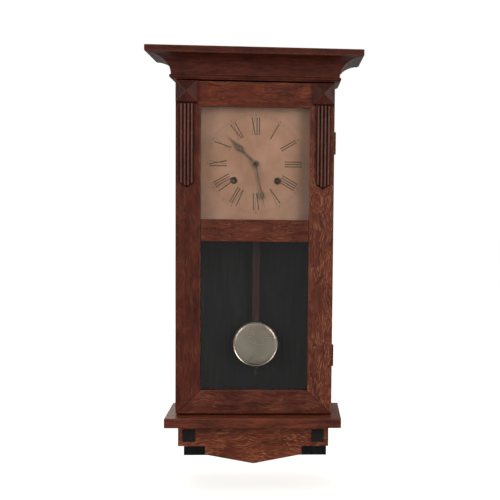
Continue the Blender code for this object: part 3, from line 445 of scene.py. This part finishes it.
def spun_brass(name, colours, centre, roughness):
    """Lacquered sheet brass finished on a lathe: fine rings round the middle, patchy tarnish."""
    material, tree, shader, place = finish_named(name, Metallic=1.0)
    around = add(tree, MAPPING, Vector=place, Location=(-centre[0] * MM, 0.0, -centre[1] * MM),
                 Scale=(1, 0.02, 1)).outputs[0]
    out = add(tree, VECTOR, {"operation": "LENGTH"}, in_0=around).outputs["Value"]
    # turning marks 0.7 mm apart, coarser than life so that they show
    out = add(tree, MATH, {"operation": "MULTIPLY"}, in_0=out, in_1=1400.0).outputs[0]
    marks = add(tree, NOISE, {"noise_dimensions": "1D"}, W=out, Scale=1.0, Detail=2.0).outputs[0]
    tarnish = add(tree, NOISE, Vector=place, Scale=24.0, Detail=2.0, Roughness=0.5, Distortion=0.3).outputs[0]
    stops = [(0.3 + 0.2 * i, colour) for i, colour in enumerate(colours)]
    colour = add(tree, RAMP, {"stops": stops}, Fac=tarnish).outputs[0]
    marked = add(tree, RAMP, {"stops": [(0.3, 0.25), (0.6, 0.0)]}, Fac=marks).outputs[0]
    colour = add(tree, MIX, COLOUR, in_0=marked, in_6=colour, in_7=colours[0]).outputs[2]
    tree.links.new(colour, shader.inputs["Base Color"])
    smoothest, roughest = roughness
    rough = add(tree, MATH, {"operation": "MULTIPLY"}, in_0=tarnish, in_1=roughest - smoothest).outputs[0]
    rough = add(tree, MATH, {"operation": "ADD"}, in_0=rough, in_1=smoothest).outputs[0]
    tree.links.new(rough, shader.inputs["Roughness"])
    bump = add(tree, "ShaderNodeBump", Strength=0.12, Distance=0.00005, Height=marks).outputs[0]
    tree.links.new(bump, shader.inputs["Normal"])
    return material


def window_glass():
    """Old drawn sheet glass: clear with a faint green cast and slow waves."""
    material, tree, shader, place = finish_named(
        "drawn_sheet_glass", Transmission_Weight=1.0, IOR=1.45, Specular_IOR_Level=0.25)
    shader.inputs["Roughness"].default_value = 0.0
    wave = add(tree, NOISE, Vector=place, Scale=9.0, Detail=1.0).outputs[0]
    tint = add(tree, RAMP, {"stops": [(0.3, "#EDF3F0"), (0.7, "#F6F8F4")]}, Fac=wave).outputs[0]
    tree.links.new(tint, shader.inputs["Base Color"])
    bump = add(tree, "ShaderNodeBump", Strength=0.03, Distance=0.002, Height=wave).outputs[0]
    tree.links.new(bump, shader.inputs["Normal"])
    return material


OAK = {grain: stained_oak(grain) for grain in "XYZ"}
BOARD = dark_board()
# ebonised wood: black dye, dull, faint grain
EBONY = plain_finish("ebonised_wood_black", ["#141113", "#1E1A1B", "#282325"], 300.0, (1, 1, 0.12),
                     (0.42, 0.6), 0.3, 0.0002, Specular_IOR_Level=0.3)
# pendulum stick: varnished softwood, straight grain
STICK = plain_finish("stick_varnished_wood", ["#22120F", "#301A16", "#3C241E"], 420.0, (1, 1, 0.04),
                     (0.38, 0.5), 0.25, 0.0002, Specular_IOR_Level=0.35)
# dial print: flat enamel, faded to brown-black, and its finest lines paler still
INK = plain_finish("printed_dial_black", ["#524438", "#635244", "#746050"], 240.0, roughness=(0.5, 0.65),
                   bump=0.05, Specular_IOR_Level=0.25)
FINE_INK = plain_finish("printed_dial_fine_lines", ["#6E5748", "#7D6553", "#8A705D"], 240.0,
                        roughness=(0.5, 0.65), bump=0.05, Specular_IOR_Level=0.25)
# rolled sheet brass, planished: warm and slightly streaked
BRASS = plain_finish("rolled_brass_sheet", ["#A47C3A", "#C09A52", "#CFAE68"], 90.0, (1, 1, 0.2),
                     (0.24, 0.38), 0.1, 0.00005, Metallic=1.0)
# stamped brass, unlacquered and gone brown
OLD_BRASS = plain_finish("hinge_brass_tarnished", ["#3D2C1A", "#5E452A", "#7C6040"], 190.0,
                         roughness=(0.36, 0.55), bump=0.2, Metallic=1.0)
# drawn and filed steel, oiled: grey, dull
STEEL = plain_finish("drawn_steel_dull", ["#6E6D6C", "#8B8A88", "#A09F9C"], 260.0, (1, 1, 0.3),
                     (0.28, 0.42), 0.1, 0.00005, Metallic=1.0)
# heat-blued steel, its blue worn to a warm grey
BLUED = plain_finish("blued_steel_worn_grey", ["#75665A", "#8B7A6A", "#9E8D7C"], 150.0,
                     roughness=(0.34, 0.5), bump=0.08, Metallic=1.0)
# black-waxed cast iron: pitted and dull
IRON = plain_finish("cast_iron_black_wax", ["#1B1A1B", "#272526", "#343031"], 420.0,
                    roughness=(0.5, 0.72), bump=0.5, depth=0.0003, Metallic=0.85)
GLASS = window_glass()
PAINT = dial_paint()


# ---------------------------------------------------------------- joinery

# node: grain, eased edge, where its face was in the log (across, deep, along the trunk),
# the stain as a share of red, green and blue, and the strength of the figure. The left
# stile's darker stain and the right stile's paler one are painted shade and painted light
# on the two sides of the door
JOINERY = {
    # the left stile is stained darker as painted shade, the right one paler as painted light
    "door_stile_left": ("Z", 0.5, (58, 16, 40), (0.76, 0.7, 0.8), 0.35),
    "door_stile_right": ("Z", 0.5, (16, 22, 700), (1.03, 1.12, 1.35), 0.85),
    "door_rail_top": ("X", 0.5, (4, 26, 210), (1.04, 1.02, 1.06), 0.35),
    "door_rail_middle": ("X", 0.5, (40, 12, 1300), (0.96, 1.05, 1.25), 0.5),
    "door_rail_bottom": ("X", 0.5, (6, 15, 1730), (0.88, 0.95, 1.15), 0.55),
    "case_side_left": ("Z", 0.6, (20, 60, 2100), (0.7, 0.65, 0.7), 0.5),
    "case_side_right": ("Z", 0.6, (30, 50, 2800), (0.8, 0.75, 0.8), 0.6),
    "case_top": ("X", 0.6, (10, 44, 3300), (0.7, 0.65, 0.7), 0.4),
    "crown_front": ("X", 0.45, (46, 20, 3800), (0.62, 0.58, 0.7), 0.1),
    "crown_left": ("Y", 0.45, (30, 30, 4300), (0.66, 0.6, 0.72), 0.1),
    "crown_right": ("Y", 0.45, (24, 36, 4600), (0.66, 0.6, 0.72), 0.1),
    "base_shelf": ("X", 0.3, (52, 8, 5000), (1.1, 1.2, 1.3), 0.12),
    "apron_board": ("X", 0.5, (8, 13, 5600), (1.3, 1.35, 1.4), 0.85),
    "apron_return_left": ("Z", 0.5, (30, 20, 6100), (0.8, 0.72, 0.72), 0.4),
    "apron_return_right": ("Z", 0.5, (24, 26, 6300), (0.8, 0.72, 0.72), 0.4),
    "corner_block_left": ("Z", 0.35, (14, 20, 6600), (0.56, 0.46, 0.52), 0.25),
    "corner_block_right": ("Z", 0.35, (9, 26, 6900), (0.5, 0.38, 0.44), 0.25),
    "reeded_drop_left": ("Z", 0.3, (44, 14, 7200), (0.76, 0.6, 0.6), 0.1),
    "reeded_drop_right": ("Z", 0.3, (36, 22, 7500), (0.64, 0.5, 0.52), 0.1),
    "glass_stop_upper": ("Z", 0.4, (50, 12, 7900), (0.7, 0.65, 0.7), 0.2),
    "glass_stop_lower": ("Z", 0.4, (42, 16, 8200), (0.7, 0.65, 0.7), 0.2),
}


def mark_board(piece, node, grain, place_in_log, stain, figure):
    """Writes where the board lay in the log, so that no two boards share a figure, and how it was stained,
    with painted light and shade on the door stiles.
    """
    low, high = corners(node)
    face = Vector(((low.x + high.x) / 2, low.y, (low.z + high.z) / 2))
    along_grain = {"Z": face, "X": Vector((-face.z, face.y, face.x)), "Y": Vector((face.x, -face.z, face.y))}
    offset = (Vector(place_in_log) - along_grain[grain]) * MM
    points = len(piece.data.vertices)
    for name, value in (("board", offset), ("stain", stain)):
        mark = piece.data.attributes.new(name, "FLOAT_VECTOR", "POINT")
        mark.data.foreach_set("vector", list(value) * points)
    piece.data.attributes.new("figure", "FLOAT", "POINT").data.foreach_set("value", [figure] * points)


# a face narrower than this is a rounded arris
ARRIS = 0.7
# wear runs from 1, rubbed pale, to -1, filled with dirt; on the same scale, painted shade darkens the block
# facets and the stile beside blocks and drops, and the reed crests take a painted highlight
CASE_ARRIS, DOOR_ARRIS, BLOCK_ARRIS, BLOCK_RIDGE = 0.4, 0.3, 0.35, 0.12
# a mitre keeps dirt; the top, left and right facets of a block are darkened as painted shade
MITRE, BLOCK_TOP_SHADE, BLOCK_LEFT_SHADE, BLOCK_RIGHT_SHADE = -0.9, -0.4, -0.34, -0.22
# painted shade on the stile beside and under the blocks, and outside the drops
SHADE_BESIDE_BLOCK, SHADE_BESIDE_DROP = -0.75, -0.3
# a reed's crest, rubbed and also a painted highlight, how fast that goes over to dirt and painted shade with
# each millimetre down, and the hollow, dirty and painted with shade
REED_CREST_WEAR_AND_HIGHLIGHT, REED_FALL, REED_HOLLOW_DIRT_AND_SHADE = 0.75, 2.7, -0.9


def mark_wear_and_shade(piece, worn_of):
    """Writes for each face how far it is rubbed pale (above zero) or darkened by dirt and painted shade
    (below zero).
    """
    values, points = [], piece.data.vertices
    for face in piece.data.polygons:
        longest = max((points[a].co - points[b].co).length for a, b in face.edge_keys)
        narrow = face.area < ARRIS * MM * longest
        values.append(worn_of(face.center / MM, face.normal, narrow))
    piece.data.attributes.new("wear", "FLOAT", "FACE").data.foreach_set("value", values)


def case_wear(middle, normal, narrow):
    """Arrises are rubbed a little."""
    return CASE_ARRIS if narrow else 0.0


def door_wear_and_shade(middle, normal, narrow):
    """Dirt in the mitres, whose arrises face outwards and to two sides at once, and painted shade on the
    strips round the blocks and outside the drops.
    """
    if normal.y < -0.25 and abs(normal.x) > 0.2 and abs(normal.z) > 0.2:
        return MITRE
    if normal.y < -0.9:
        # painted shade on the strips of the stile round the blocks and drops
        for low, high, painted_shade in SHADED:
            if low[0] < abs(middle.x) < high[0] and low[1] < middle.z < high[1]:
                return painted_shade
    return DOOR_ARRIS if narrow else 0.0


def block_wear_and_shade(middle, normal, narrow):
    """The ridges are rubbed a little, and all facets but the lower one are darkened as painted shade."""
    if normal.y < -0.85 and abs(normal.x) > 0.04 and abs(normal.z) > 0.04:
        return BLOCK_RIDGE
    if normal.y < -0.85 and max(abs(normal.x), abs(normal.z)) > 0.1:
        if abs(normal.z) > abs(normal.x):
            return BLOCK_TOP_SHADE if normal.z > 0 else 0.0
        return BLOCK_RIGHT_SHADE if normal.x > 0 else BLOCK_LEFT_SHADE
    return BLOCK_ARRIS if narrow else 0.0


block_low, block_high = corners("corner_block_right")
drop_low, drop_high = corners("reeded_drop_right")
# the upper pane sits 5 mm deep in the stile
light_edge = corners("glass_upper")[1].x - 5.0
# strips of the stile beside each block, under it and outside the drop, as (across, up)
# corners and how dark the shade painted on them is
SHADED = [((light_edge, block_low.z - 1.5), (block_low.x, block_high.z + 2), SHADE_BESIDE_BLOCK),
          ((block_low.x - 0.1, drop_high.z - 0.3), (block_high.x + 0.6, block_low.z + 0.1), SHADE_BESIDE_BLOCK),
          ((drop_high.x - 0.2, drop_low.z + 8.0), (block_high.x + 3.0, block_low.z + 0.1), SHADE_BESIDE_DROP)]
RIDGE_WIDTH = 0.7

for node, (grain, edge, place_in_log, stain, figure) in JOINERY.items():
    board = rough_copy(node)
    if node.startswith("corner_block"):
        choose(board, "EDGE", lambda m, n: abs(n.x) > 0.5 and abs(n.z) > 0.5)
        bpy.ops.mesh.bevel(offset=RIDGE_WIDTH * MM, segments=1, affect="EDGES")
        put_down()
    if node.startswith("door_stile"):
        # the face is parted along the edges of the painted-shade strips
        side = 1 if node.endswith("right") else -1
        for across, up in [corner for strip in SHADED for corner in strip[:2]]:
            for spot, way in (((side * across, 0, 0), (1, 0, 0)), ((0, 0, up), (0, 0, 1))):
                everything(board)
                bpy.ops.mesh.bisect(plane_co=Vector(spot) * MM, plane_no=way)
        put_down()
    ease(board, edge)
    finished(board, node + "_oak", BODY_OF[node], OAK[grain], [node], flat_faces=True)
    mark_board(board, node, grain, place_in_log, stain, figure)
    if node.startswith("reeded_drop"):
        crest = -corners(node)[0].y
        # from the rubbed crest of a reed, also a painted highlight, down to the dirt and painted shade in the
        # hollow beside it
        depths = [crest + point.co.y / MM for point in board.data.vertices]
        wear = [max(REED_HOLLOW_DIRT_AND_SHADE, REED_CREST_WEAR_AND_HIGHLIGHT - REED_FALL * depth) for depth in depths]
        board.data.attributes.new("wear", "FLOAT", "POINT").data.foreach_set("value", wear)
    elif node.startswith("corner_block"):
        mark_wear_and_shade(board, block_wear_and_shade)
    elif node.startswith("door_"):
        mark_wear_and_shade(board, door_wear_and_shade)
    else:
        mark_wear_and_shade(board, case_wear)

for side in ("left", "right"):
    stud = rough_copy("apron_stud_" + side)
    finished(stud, "stud_" + side + "_ebonised", "case", EBONY, ["apron_stud_" + side],
             flat_faces=True)


# ---------------------------------------------------------------- glazing

for level in ("upper", "lower"):
    pane = rough_copy("glass_" + level)
    ease(pane, 0.25, 1)
    finished(pane, "pane_" + level, "door", GLASS, ["glass_" + level], flat_faces=True)
    pane.visible_shadow = False


# ---------------------------------------------------------------- dial

NUMERAL_FOOT, NUMERAL_HEAD = 53.8, 85.2
THICK, THIN, SERIF = 2.0, 0.7, 0.55
dial_low, dial_high = corners("dial_plate")
DIAL_FACE = -dial_low.y
# how far print stands proud of the dial, more than life so that no two faces meet, and
# how far its back is let in
PRINT, FINE_PRINT, LET_IN = 0.12, 0.08, 0.04
# the numerals' serifs, the half width of an X or a V, and the minute track's rings
SERIF_OUT, HALF_LETTER = 0.9, 3.4
TRACK_RINGS, RING_WIDTH = (87.6, 91.4), 0.3


def stroke(width, proud):
    """An upright stroke with a serif bar at both ends, printed a little proud of the dial."""
    length = NUMERAL_HEAD - NUMERAL_FOOT
    bar = block((-width / 2, width / 2), (DIAL_FACE - 0.05, DIAL_FACE + proud), (0, length))
    for level in (SERIF, length - SERIF):
        everything(bar)
        bpy.ops.mesh.bisect(plane_co=(0, 0, level * MM), plane_no=(0, 0, 1))
    for end in (SERIF / 2, length - SERIF / 2):
        for way in (-1, 1):
            choose(bar, "FACE", lambda m, n: abs(m.z - end) < 0.1 and n.x * way > 0.9)
            bpy.ops.mesh.extrude_region_move(TRANSFORM_OT_translate={"value": (way * SERIF_OUT * MM, 0, 0)})
    put_down()
    return bar


def leaning_stroke(pattern, x_foot, x_head):
    """A copy of a stroke that runs from one place at the foot to another at the head."""
    length = NUMERAL_HEAD - NUMERAL_FOOT
    lean = math.atan2(x_head - x_foot, length)
    stretch = Matrix.Diagonal((1, 1, 1 / math.cos(lean), 1))
    return twin(pattern, shifted(x_foot) @ Matrix.Rotation(lean, 4, "Y") @ stretch)


thick_stroke = stroke(THICK, PRINT)
thin_stroke = stroke(THIN, PRINT - 0.03)


def letter(kind, x):
    """Pieces of one roman letter whose middle is at x."""
    half = HALF_LETTER
    if kind == "I":
        return [twin(thick_stroke, shifted(x))]
    if kind == "V":
        return [leaning_stroke(thick_stroke, x - 0.3, x - half),
                leaning_stroke(thin_stroke, x + 0.5, x + half)]
    return [leaning_stroke(thick_stroke, x + half - 0.4, x - half + 0.4),
            leaning_stroke(thin_stroke, x - half + 0.4, x + half - 0.4)]


ADVANCE = {"I": 4.4, "V": 8.0, "X": 8.4}
NUMERALS = ["I", "II", "III", "IIII", "V", "VI", "VII", "VIII", "IX", "X", "XI", "XII"]
for hour, letters in enumerate(NUMERALS, 1):
    parts, x = [], -sum(ADVANCE[kind] for kind in letters) / 2
    for kind in letters:
        parts += letter(kind, x + ADVANCE[kind] / 2)
        x += ADVANCE[kind]
    numeral = joined(parts)
    numeral.data.transform(Matrix.Rotation(math.radians(30 * hour), 4, "Y") @ shifted(z=NUMERAL_FOOT))
    finished(numeral, f"numeral_{hour:02d}", "case", INK, angle=20)
for pattern in (thick_stroke, thin_stroke):
    bpy.data.objects.remove(pattern)

track = []
for radius in TRACK_RINGS:
    under, top, outside = DIAL_FACE - LET_IN, DIAL_FACE + FINE_PRINT, radius + RING_WIDTH
    ring_line = [(radius, under), (radius, top), (outside, top), (outside, under), (radius, under)]
    track.append(turned(ring_line, (0, 0), steps=180))
# a minute stroke, narrower at its inner end
tick = block((-0.17, 0.17), (DIAL_FACE - LET_IN, DIAL_FACE + 0.1), (87.7, 91.6))
choose(tick, "FACE", lambda m, n: n.z < -0.9)
bpy.ops.transform.resize(value=(0.7, 1, 1), center_override=(0, 0, 0))
put_down()
for minute in range(60):
    if minute % 5:
        track.append(twin(tick, Matrix.Rotation(math.radians(6 * minute), 4, "Y")))
bpy.data.objects.remove(tick)
finished(joined(track), "minute_track", "case", FINE_INK, angle=20)

diamond = block((-0.9, 0.9), (DIAL_FACE - 0.05, DIAL_FACE + 0.1), (-0.9, 0.9))
diamond.data.transform(Matrix.Rotation(math.radians(45), 4, "Y"))
choose(diamond, "FACE", lambda m, n: n.y < -0.9)
bpy.ops.mesh.inset(thickness=0.12 * MM)
bpy.ops.transform.translate(value=(0, -0.04 * MM, 0))
put_down()
# between the two rings of the minute track
diamonds = [twin(diamond, Matrix.Rotation(math.radians(30 * hour), 4, "Y") @ shifted(z=89.6))
            for hour in range(12)]
bpy.data.objects.remove(diamond)
finished(joined(diamonds), "hour_diamonds", "case", INK, angle=20)


def painted_node(node, material):
    """A node whose shape is right keeps it and gets a finish."""
    piece = NODES[node]
    for place in piece.material_slots:
        place.link = "OBJECT"
        place.material = material


painted_node("dial_plate", PAINT)
painted_node("dial_frame", BOARD)
painted_node("back_board", BOARD)

COLLET_BRASS = spun_brass("collet_brass_aged", ["#4A3A26", "#6E5838", "#8A7048"], (0, 0), (0.3, 0.5))
collet_line = [(5.15, 0.0), (5.15, 0.7), (5.5, 1.0), (6.2, 0.9), (6.7, 0.35), (6.7, 0.0), (5.15, 0.0)]
for node, name in (("time_winding_arbor", "collet_time"), ("strike_winding_arbor", "collet_strike")):
    low, high = corners(node)
    hub = ((low.x + high.x) / 2, (low.z + high.z) / 2)
    collet = turned([(r, DIAL_FACE + d) for r, d in collet_line], hub, steps=48)
    finished(collet, name, "case", COLLET_BRASS)


def slotted_screw(radius, rise, slot_turn=0.0, countersunk=False):
    """A slotted head standing on depth 0 and pointing out from the wall."""
    if countersunk:
        line = [(0, rise), (radius - 0.2, rise), (radius, rise - 0.12), (radius, rise - 0.3),
                (radius * 0.4, -1.0), (0, -1.0)]
    else:
        line = [(0, rise), (radius * 0.45, rise - 0.06), (radius * 0.8, rise * 0.72), (radius, rise * 0.25),
                (radius, 0), (radius * 0.4, -0.6), (0, -0.6)]
    head = turned(line, (0, 0), steps=32)
    slot_cut = block((-radius - 1, radius + 1), (rise - 0.55 * abs(rise) - 0.15, rise + 1), (-0.32, 0.32))
    slot_cut.data.transform(Matrix.Rotation(math.radians(slot_turn), 4, "Y"))
    return cut_away(head, slot_cut)


# a screw in each corner of a plate, the same distance in from its edges
FOUR_CORNERS = ((-1, -1), (-1, 1), (1, -1), (1, 1))
DIAL_SCREW_IN = (7.0, 8.0)
screw_head = slotted_screw(3.0, 1.3)
for count, (sign_x, sign_z) in enumerate(FOUR_CORNERS):
    spin = Matrix.Rotation(math.radians(25 + 50 * count), 4, "Y")
    place = shifted(sign_x * (dial_high.x - DIAL_SCREW_IN[0]), DIAL_FACE + 0.02,
                    sign_z * (dial_high.z - DIAL_SCREW_IN[1]))
    screw = twin(screw_head, place @ spin)
    finished(screw, f"dial_screw_{count + 1}", "case", STEEL)

for node in ("hour_hand", "minute_hand"):
    hand = rough_copy(node)
    ease(hand, 0.28, 2)
    finished(hand, node + "_blued", BODY_OF[node], BLUED, [node], flat_faces=True)
painted_node("hand_nut", OLD_BRASS)


# ---------------------------------------------------------------- hinges and hanger

# middle of a leaf, and the face of each leaf that its screws stand in
LEAF_MIDDLE, CASE_LEAF, DOOR_LEAF = 137.6, 100.0, 100.6
flat_screw = slotted_screw(2.3, 0.16, countersunk=True)
for level in ("upper", "lower"):
    for side, body in (("case", "case"), ("door", "door")):
        node = f"hinge_{side}_leaf_{level}"
        leaf = rough_copy(node)
        ease(leaf, 0.12, 1)
        finished(leaf, node + "_brass", body, OLD_BRASS, [node], flat_faces=True)
        low, high = corners(node)
        middle_z = (low.z + high.z) / 2
        screws = []
        for count, rise in enumerate((-12.5, 0.0, 12.5)):
            spin = Matrix.Rotation(math.radians(35 + 64 * count), 4, "Y")
            if side == "case":
                place = shifted(LEAF_MIDDLE, CASE_LEAF, middle_z + rise) @ spin
            else:
                about_face = Matrix.Rotation(math.pi, 4, "Z")
                place = shifted(LEAF_MIDDLE, DOOR_LEAF, middle_z + rise) @ about_face @ spin
            screws.append(twin(flat_screw, place))
        finished(joined(screws), f"hinge_screws_{side}_{level}", body, STEEL)

hanger = rough_copy("hanger_plate")
ease(hanger, 0.15, 1)
finished(hanger, "hanger_plate_steel", "case", STEEL, ["hanger_plate"], flat_faces=True)


# ---------------------------------------------------------------- movement, gong

MOVEMENT = {
    "movement_back_plate": BRASS, "movement_front_plate": BRASS, "time_barrel": BRASS,
    "strike_barrel": BRASS,
    "second_wheel": BRASS, "centre_wheel": BRASS, "third_wheel": BRASS, "escape_wheel": BRASS,
    "pin_wheel": BRASS, "fly": BRASS, "cannon_pinion": BRASS, "hour_wheel": BRASS, "minute_wheel": BRASS,
    "verge": STEEL, "time_winding_arbor": BLUED, "strike_winding_arbor": BLUED, "strike_hammer": STEEL,
    "catch_plunger": BRASS, "suspension_hook": BRASS, "rating_screw": OLD_BRASS, "rod_gong": IRON,
}
for node, material in MOVEMENT.items():
    painted_node(node, material)

# the screws of the front plate: how far in, and the depth they stand on
PLATE_SCREW_IN, PLATE_SCREW_FACE = 8, 74.02
plate_high = corners("movement_front_plate")[1]
for count, (sign_x, sign_z) in enumerate(FOUR_CORNERS):
    spin = Matrix.Rotation(math.radians(15 + 70 * count), 4, "Y")
    place = shifted(sign_x * (plate_high.x - PLATE_SCREW_IN), PLATE_SCREW_FACE,
                    sign_z * (plate_high.z - PLATE_SCREW_IN))
    finished(twin(screw_head, place @ spin), f"plate_screw_{count + 1}", "case", STEEL)
for pattern in (screw_head, flat_screw):
    bpy.data.objects.remove(pattern)


# ---------------------------------------------------------------- pendulum

bob_low, bob_high = corners("bob")
bob_z, bob_radius = (bob_low.z + bob_high.z) / 2, (bob_high.z - bob_low.z) / 2
bob_front, bob_back = -bob_low.y, -bob_high.y
stick_low, stick_high = corners("pendulum_stick")
# from the middle of the face over a rim bead and round to the middle of the back
bob_line = [(0, bob_front), (8, bob_front - 0.06), (16, bob_front - 0.24), (24, bob_front - 0.54),
            (32, bob_front - 0.96), (38, bob_front - 1.4), (39.6, bob_front - 1.75),
            (40.4, bob_front - 2.1), (40.9, bob_front - 1.9), (41.6, bob_front - 1.5),
            (42.4, bob_front - 1.55), (43.2, bob_front - 2.2), (43.8, bob_front - 3.2),
            (bob_radius, bob_front - 4.4), (bob_radius, bob_front - 6.6), (43.4, bob_front - 7.2),
            (32, bob_back + 4.0), (20, bob_back + 1.5), (8, bob_back + 0.3), (0, bob_back)]
bob = turned(bob_line, (0, bob_z), steps=128)
channel = (stick_low.x - 0.4, stick_high.x + 0.4)
cut_away(bob, block(channel, (bob_back - 3, -stick_low.y + 0.4), (bob_low.z - 5, bob_high.z + 5)))
BOB_BRASS = spun_brass("bob_spun_brass", ["#D6C3B4", "#E0CEC0", "#E9D9CC"], (0, bob_z), (0.2, 0.36))
finished(bob, "bob_disc", "bob", BOB_BRASS, ["bob"], angle=30)

stick = rough_copy("pendulum_stick")
finished(stick, "pendulum_stick_wood", "pendulum", STICK, ["pendulum_stick"])

nut_low, nut_high = corners("rating_nut")
nut_hub = ((nut_low.x + nut_high.x) / 2, -(nut_low.y + nut_high.y) / 2)
nut_r = (nut_high.x - nut_low.x) / 2
nut_line = [(1.9, nut_high.z), (nut_r - 0.9, nut_high.z), (nut_r - 0.25, nut_high.z - 0.7),
            (nut_r - 0.25, nut_low.z + 0.7), (nut_r - 0.9, nut_low.z), (1.9, nut_low.z), (1.9, nut_high.z)]
MILLED = 48
nut = turned(nut_line, nut_hub, "Z", MILLED)
# milled edge: every other face of the rim is drawn in
rim_z = (nut_low.z + nut_high.z) / 2


def every_other_rim_face(middle, normal):
    across, away = middle.x - nut_hub[0], middle.y + nut_hub[1]
    on_rim = abs(middle.z - rim_z) < 0.3 and math.hypot(across, away) > nut_r - 0.5
    return on_rim and round(math.atan2(across, away) / (2 * math.pi / MILLED) - 0.5) % 2 == 0


choose(nut, "FACE", every_other_rim_face)
bpy.ops.mesh.extrude_faces_move(TRANSFORM_OT_shrink_fatten={"value": 0.22 * MM})
put_down()
finished(nut, "rating_nut_milled", "rating_nut", OLD_BRASS, ["rating_nut"], angle=25)


# ---------------------------------------------------------------- stage, light and camera

def aim(thing, target):
    thing.rotation_mode = "QUATERNION"
    thing.rotation_quaternion = (Vector(target) - thing.location).to_track_quat("-Z", "Y")


put_down()
# the floor lies 35 mm below the apron
bpy.ops.mesh.primitive_circle_add(vertices=96, radius=14.0, fill_type="NGON",
                                  location=(0, 0, CAD_LOW.z - 0.035))
floor = bpy.context.active_object
bpy.ops.object.transform_apply(location=True, rotation=True, scale=True)
everything(floor)
bpy.ops.mesh.select_mode(type="FACE")
bpy.ops.mesh.inset(thickness=4.0)
put_down()
floor.name = "floor"
# matt white paint, lit a little from within so that it stays pale far from the lamps
PLASTER = plain_finish("floor_matt_white_paint", ["#B2B0AE", "#B6B4B2", "#BAB8B6"], 3.0,
                       roughness=(0.8, 0.9), bump=0.02, Specular_IOR_Level=0.1,
                       Emission_Color=linear("#FFFEFC"), Emission_Strength=0.82)
floor.data.materials.append(PLASTER)
# the floor is seen and takes the shadow, but throws no light back up at the clock
floor.visible_diffuse = floor.visible_glossy = floor.visible_transmission = False
floor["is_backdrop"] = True

world = bpy.data.worlds.new("pale_room")
bpy.context.scene.world = world
world.use_nodes = True
room = world.node_tree
path = add(room, "ShaderNodeLightPath").outputs
# a pale room to look at, straight or through the panes, and a dimmer one as fill light
SEEN_ROOM, DIM_ROOM = 1.03, 0.24
diffuse, glossy = path["Diffuse Depth"], path["Glossy Depth"]
bounces = add(room, MATH, {"operation": "ADD"}, in_0=diffuse, in_1=glossy).outputs[0]
bounced = add(room, MATH, {"operation": "MINIMUM"}, in_0=bounces, in_1=1.0).outputs[0]
straight = add(room, MATH, {"operation": "SUBTRACT"}, in_0=1.0, in_1=bounced).outputs[0]
through = path["Is Transmission Ray"]
through = add(room, MATH, {"operation": "MULTIPLY"}, in_0=through, in_1=straight).outputs[0]
seen = add(room, MATH, {"operation": "MAXIMUM"}, in_0=path["Is Camera Ray"], in_1=through).outputs[0]
seen = add(room, MATH, {"operation": "MULTIPLY"}, in_0=seen, in_1=SEEN_ROOM - DIM_ROOM).outputs[0]
strength = add(room, MATH, {"operation": "ADD"}, in_0=DIM_ROOM, in_1=seen).outputs[0]
sky = room.nodes["Background"]
sky.inputs["Color"].default_value = linear("#FFFEFC")
room.links.new(strength, sky.inputs["Strength"])

middle = (CAD_LOW + CAD_HIGH) / 2
# name, place in metres, width in metres, watts
LAMPS = (("key", (1.75, -2.1, 0.45), 1.5, 26.0),
         ("fill", (-1.75, -2.1, 0.35), 1.5, 16.5),
         ("rear", (-0.8, 2.2, 1.2), 1.8, 24.0))
for name, place, size, power in LAMPS:
    lamp = bpy.data.lights.new(name, "AREA")
    lamp.shape = "DISK"
    lamp.size = size
    lamp.energy = power
    lamp.color = linear("#FFF6EE")[:3]
    holder = bpy.data.objects.new(name, lamp)
    bpy.context.scene.collection.objects.link(holder)
    holder.location = place
    aim(holder, middle)
overhead = bpy.data.lights.new("overhead", "SUN")
overhead.energy = 0.7
overhead.angle = math.radians(50)
bpy.context.scene.collection.objects.link(bpy.data.objects.new("overhead", overhead))

camera_data = bpy.data.cameras.new("camera")
camera = bpy.data.objects.new("camera", camera_data)
bpy.context.scene.collection.objects.link(camera)
bpy.context.scene.camera = camera
camera.location = Vector((66.6, -2057.5, -59.2)) * MM
yaw, pitch, roll = (math.radians(a) for a in (-4.17, -4.23, -0.82))
turn = Matrix.Rotation(yaw, 3, "Z") @ Matrix.Rotation(pitch, 3, "X") @ Matrix.Rotation(roll, 3, "Y")
right, ahead, up = turn.col[0], turn.col[1], turn.col[2]
camera.rotation_mode = "QUATERNION"
camera.rotation_quaternion = Matrix((right, up, -ahead)).transposed().to_quaternion()
camera_data.sensor_width = 36.0
camera_data.lens = 75.5
camera_data.shift_x = -0.234
camera_data.shift_y = 0.0502
camera_data.clip_start, camera_data.clip_end = 0.05, 60.0

bpy.context.scene.view_settings.view_transform = "Standard"

bpy.context.view_layer.update()
low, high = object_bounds()
